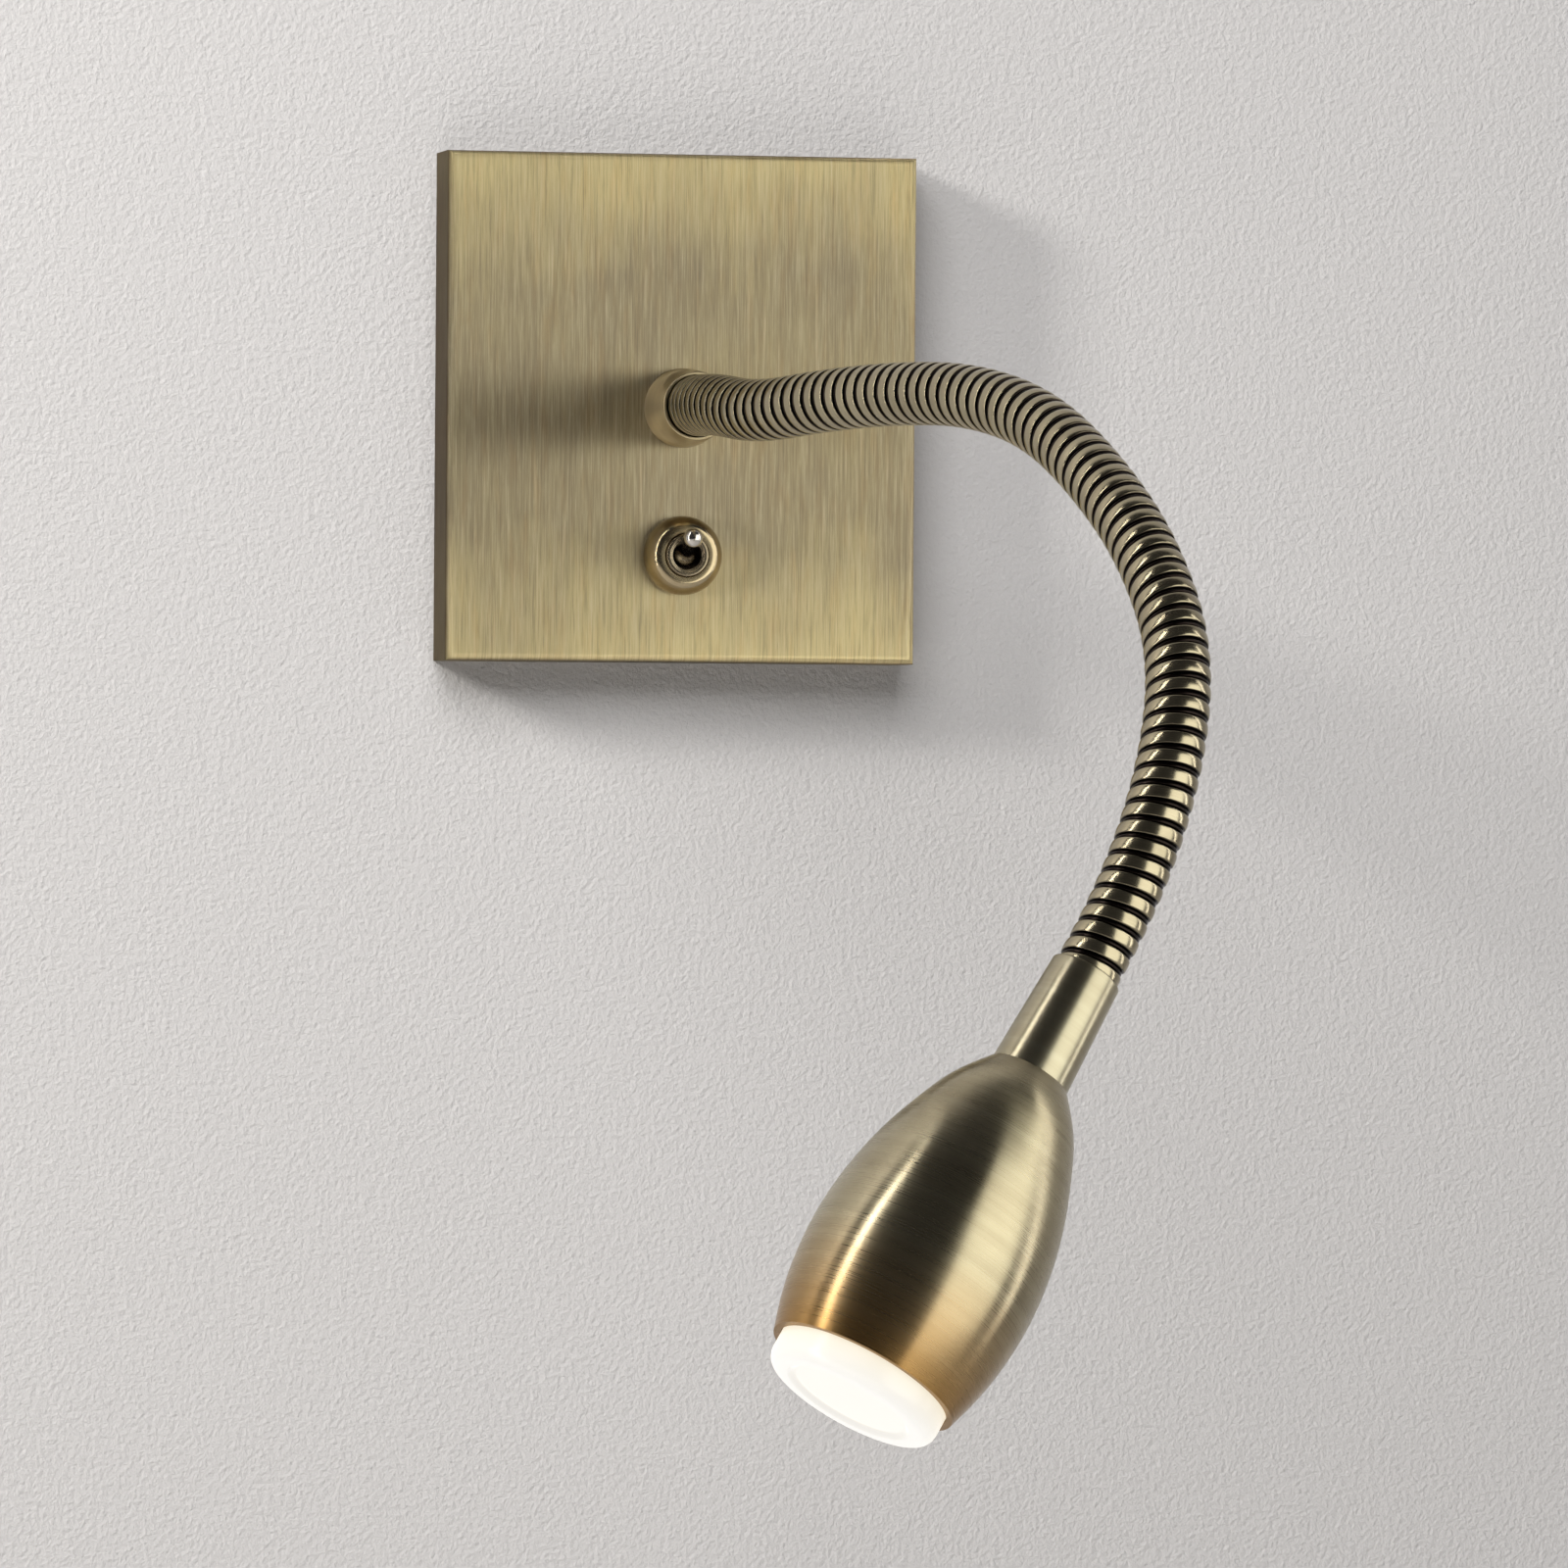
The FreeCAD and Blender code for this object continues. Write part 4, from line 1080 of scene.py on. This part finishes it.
@dataclass
class Inside:
    """The pieces that the plate and the head hide, which keep their CAD shapes."""

    def finishes(self) -> dict[str, object]:
        """Choose each material slot's finish.

        Returns:
            The finishes by slot.
        """
        return {
            "zinc_steel": PlainMetal("zinc", (0.60, 0.61, 0.62), 0.3, 0.9 * MM),
            "tag_metal": PlainMetal("tinned", (0.70, 0.66, 0.58), 0.32),
            "switch_black": Moulding("black_moulding", (0.025, 0.025, 0.028), 0.5),
            "driver_white": Moulding("white_moulding", (0.78, 0.78, 0.75), 0.5),
            "board_white": Moulding("white_board", (0.82, 0.82, 0.8), 0.3),
            "board_green": Moulding("green_board", (0.03, 0.17, 0.07), 0.35),
            "terminal_clear": Moulding("natural_moulding", (0.72, 0.71, 0.65), 0.35),
            "wire_brown": Moulding("brown_insulation", (0.16, 0.07, 0.03), 0.45),
            "wire_blue": Moulding("blue_insulation", (0.03, 0.12, 0.45), 0.45),
            "wire_earth": EarthStripe(),
            "lead_black": Moulding("black_sheath", (0.02, 0.02, 0.02), 0.5),
            "sink_aluminium": PlainMetal("turned_aluminium", (0.72, 0.73, 0.74), 0.28),
            "emitter": Moulding("phosphor", (0.85, 0.72, 0.25), 0.4),
            "seal_rubber": Moulding("silicone", (0.6, 0.6, 0.58), 0.5),
        }

    def build(self) -> None:
        """Dress each hidden node by its slot."""
        finishes, made = self.finishes(), {}
        for part in FRAME["record"]["subparts"]:
            slot = part["material_slot"]
            if slot not in finishes:
                continue
            if slot not in made:
                made[slot] = finishes[slot].build()
            node = FRAME["nodes"][part["node"]]
            node.data.materials.clear()
            node.data.materials.append(made[slot])
            LOG.info("dressed %s as %s", part["node"], slot)


# the studio
@dataclass
class Studio:
    """A pale wall and floor, soft light, and the camera where the photograph was taken from."""

    azimuth: float = -12.0
    distance: float = 2.2
    pixels: float = 1600.0
    scale: float = 5190.0
    plate_pixel: tuple = (697.0, 416.5)
    roll: float = 0.4
    face: float = 14 * MM
    sensor: float = 36.0
    floor: float = -0.55
    top: float = 1.4
    front: float = -2.4
    back: float = 0.2 * MM
    half_width: float = 1.6
    paint: tuple = (0.62, 0.61, 0.60)
    room: tuple = (0.045, 0.045, 0.047)
    pale: tuple = (0.86, 0.86, 0.86)
    target: tuple = (0.02, -0.15, -0.06)

    def camera(self) -> None:
        """Put the camera so that the plate's middle falls on its pixel at the photograph's scale.

        The aim is the plate's middle moved by the frame's middle less the plate's pixel, over the scale,
        and turned back by the roll; the lens is the scale times the distance over the frame's width.
        """
        a, roll = math.radians(self.azimuth), math.radians(self.roll)
        look = Vector((-math.sin(a), math.cos(a), 0))
        right = Vector((math.cos(a), math.sin(a), 0))
        half = self.pixels / 2
        x, y = ((half - p) / self.scale for p in self.plate_pixel)
        across = math.cos(roll) * x + math.sin(roll) * y
        down = -math.sin(roll) * x + math.cos(roll) * y
        aim = Vector((0, -self.face, 0)) + right * across - Vector((0, 0, down))
        data = bpy.data.cameras.new("camera")
        data.sensor_width = self.sensor
        data.lens = self.sensor * self.scale * self.distance / self.pixels
        data.clip_start, data.clip_end = 0.05, 20
        made = added("camera", data)
        facing = look.to_track_quat("-Z", "Y").to_matrix().to_4x4()
        made.matrix_world = Matrix.Translation(aim - look * self.distance) @ facing @ \
            Matrix.Rotation(roll, 4, "Z")
        bpy.context.scene.camera = made

    def matt(self, name: str) -> Material:
        """Make a matt paint with a faint texture, clear when seen from behind.

        Args:
            name: the material's name.

        Returns:
            The material.
        """
        s = Shader(name)
        grain = s.noise(s.place((1.1 * MM,) * 3), 3.0, 0.6)
        s.set(Base_Color=self.paint, Roughness=0.9, Normal=s.bump(grain, 0.7 * MM, 0.55),
              Specular_IOR_Level=0.1)
        behind = s.node("ShaderNodeNewGeometry").outputs["Backfacing"]
        clear = s.node("ShaderNodeBsdfTransparent").outputs[0]
        mixed = s.node("ShaderNodeMixShader", {}, {0: behind, 1: s.shader.outputs[0], 2: clear})
        s.feed(s.nodes["Material Output"].inputs["Surface"], mixed.outputs[0])
        return s.material

    def plane(self, name: str, material: str, first: tuple, second: tuple) -> None:
        """Add a flat backdrop between two level edges, which throws no shadow.

        Args:
            name: its name.
            material: its material's name.
            first: the Y and Z of one edge.
            second: the Y and Z of the other.
        """
        corners = [[(x, *edge) for x in (-self.half_width, self.half_width)] for edge in (first, second)]
        made = grid_piece(name, np.array(corners), (False, False))
        made.data.materials.append(self.matt(material))
        made.visible_shadow = False

    def light(self, name: str, azimuth: float, up: float, far: float, size: tuple, power: float,
              colour: tuple = (1, 1, 1), glossy: bool = True, diffuse: bool = True,
              lean: float = 0.0) -> None:
        """A soft panel that faces the lamp, at an azimuth and elevation like the camera's.

        Args:
            name: the light's name.
            azimuth: to the right of straight out, in degrees.
            up: above level, in degrees.
            far: how far away, in metres.
            size: its width and height.
            power: in watts.
            colour: its colour.
            glossy: whether metal shows it.
            diffuse: whether matt surfaces take light from it.
            lean: how far it is turned about the line to the lamp, in degrees.
        """
        a, e = math.radians(azimuth), math.radians(up)
        target = Vector(self.target)
        spot = target + far * Vector((math.sin(a) * math.cos(e), -math.cos(a) * math.cos(e), math.sin(e)))
        data = bpy.data.lights.new(name, "AREA")
        data.shape = "RECTANGLE"
        data.size, data.size_y = size
        data.energy = power
        data.color = colour
        made = added(name, data)
        facing = (target - spot).to_track_quat("-Z", "Y").to_matrix().to_4x4()
        made.matrix_world = Matrix.Translation(spot) @ facing @ Matrix.Rotation(math.radians(lean), 4, "Z")
        made.visible_camera, made.visible_glossy, made.visible_diffuse = False, glossy, diffuse

    def world(self) -> None:
        """Make a dim room that the camera itself sees as pale."""
        world = bpy.data.worlds.new("room")
        bpy.context.scene.world = world
        world.use_nodes = True
        tree = Tree(world.node_tree)
        sockets = tree.nodes["Background"].inputs
        seen = tree.node("ShaderNodeLightPath").outputs["Is Camera Ray"]
        tree.feed(sockets["Color"], tree.mix(seen, self.room, self.pale))
        tree.feed(sockets["Strength"], 1.0)

    def build(self) -> None:
        """Make the stage, the lights and the camera."""
        self.plane("backdrop", "wall_paint", (self.back, self.floor), (self.back, self.top))
        self.plane("floor", "floor_paint", (self.front, self.floor), (self.back, self.floor))
        self.light("key", -74, 27, 1.4, (0.22, 0.30), 15, (1.0, 0.97, 0.93), glossy=False)
        self.light("left_strip", -76, 14, 1.2, (0.06, 2.6), 11, (1.0, 0.98, 0.95), diffuse=False)
        self.light("wall_fill", -20, 40, 1.5, (1.2, 1.0), 21, (1.0, 0.99, 1.0), glossy=False)
        self.light("right_card", 42, -6, 1.2, (1.15, 2.3), 20, (1.0, 1.0, 0.93), diffuse=False, lean=-20)
        self.light("back_fill", 180, 12, 1.2, (0.8, 0.8), 7)
        self.light("right_strip", 84, 0, 1.2, (0.12, 2.2), 5, (1.0, 0.98, 0.95), diffuse=False)
        self.world()
        self.camera()
        bpy.context.scene.view_settings.view_transform = "Standard"


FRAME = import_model()


def main() -> None:
    """Build the lamp's looks round its frame."""
    logging.basicConfig(level=logging.INFO, format="%(message)s")
    route = Route()
    tip = route.at(np.array([route.length - route.socket]))
    head_axis = Axis(tip[0][0], tip[1][0])
    arm_bodies = [name for name in FRAME["bodies"] if name.startswith("arm_")]
    Studio().build()
    Wall().build()
    Gooseneck(route).build(["base", *sorted(arm_bodies), "head"])
    Head(head_axis).build()
    Inside().build()


if __name__ == "__main__":
    main()
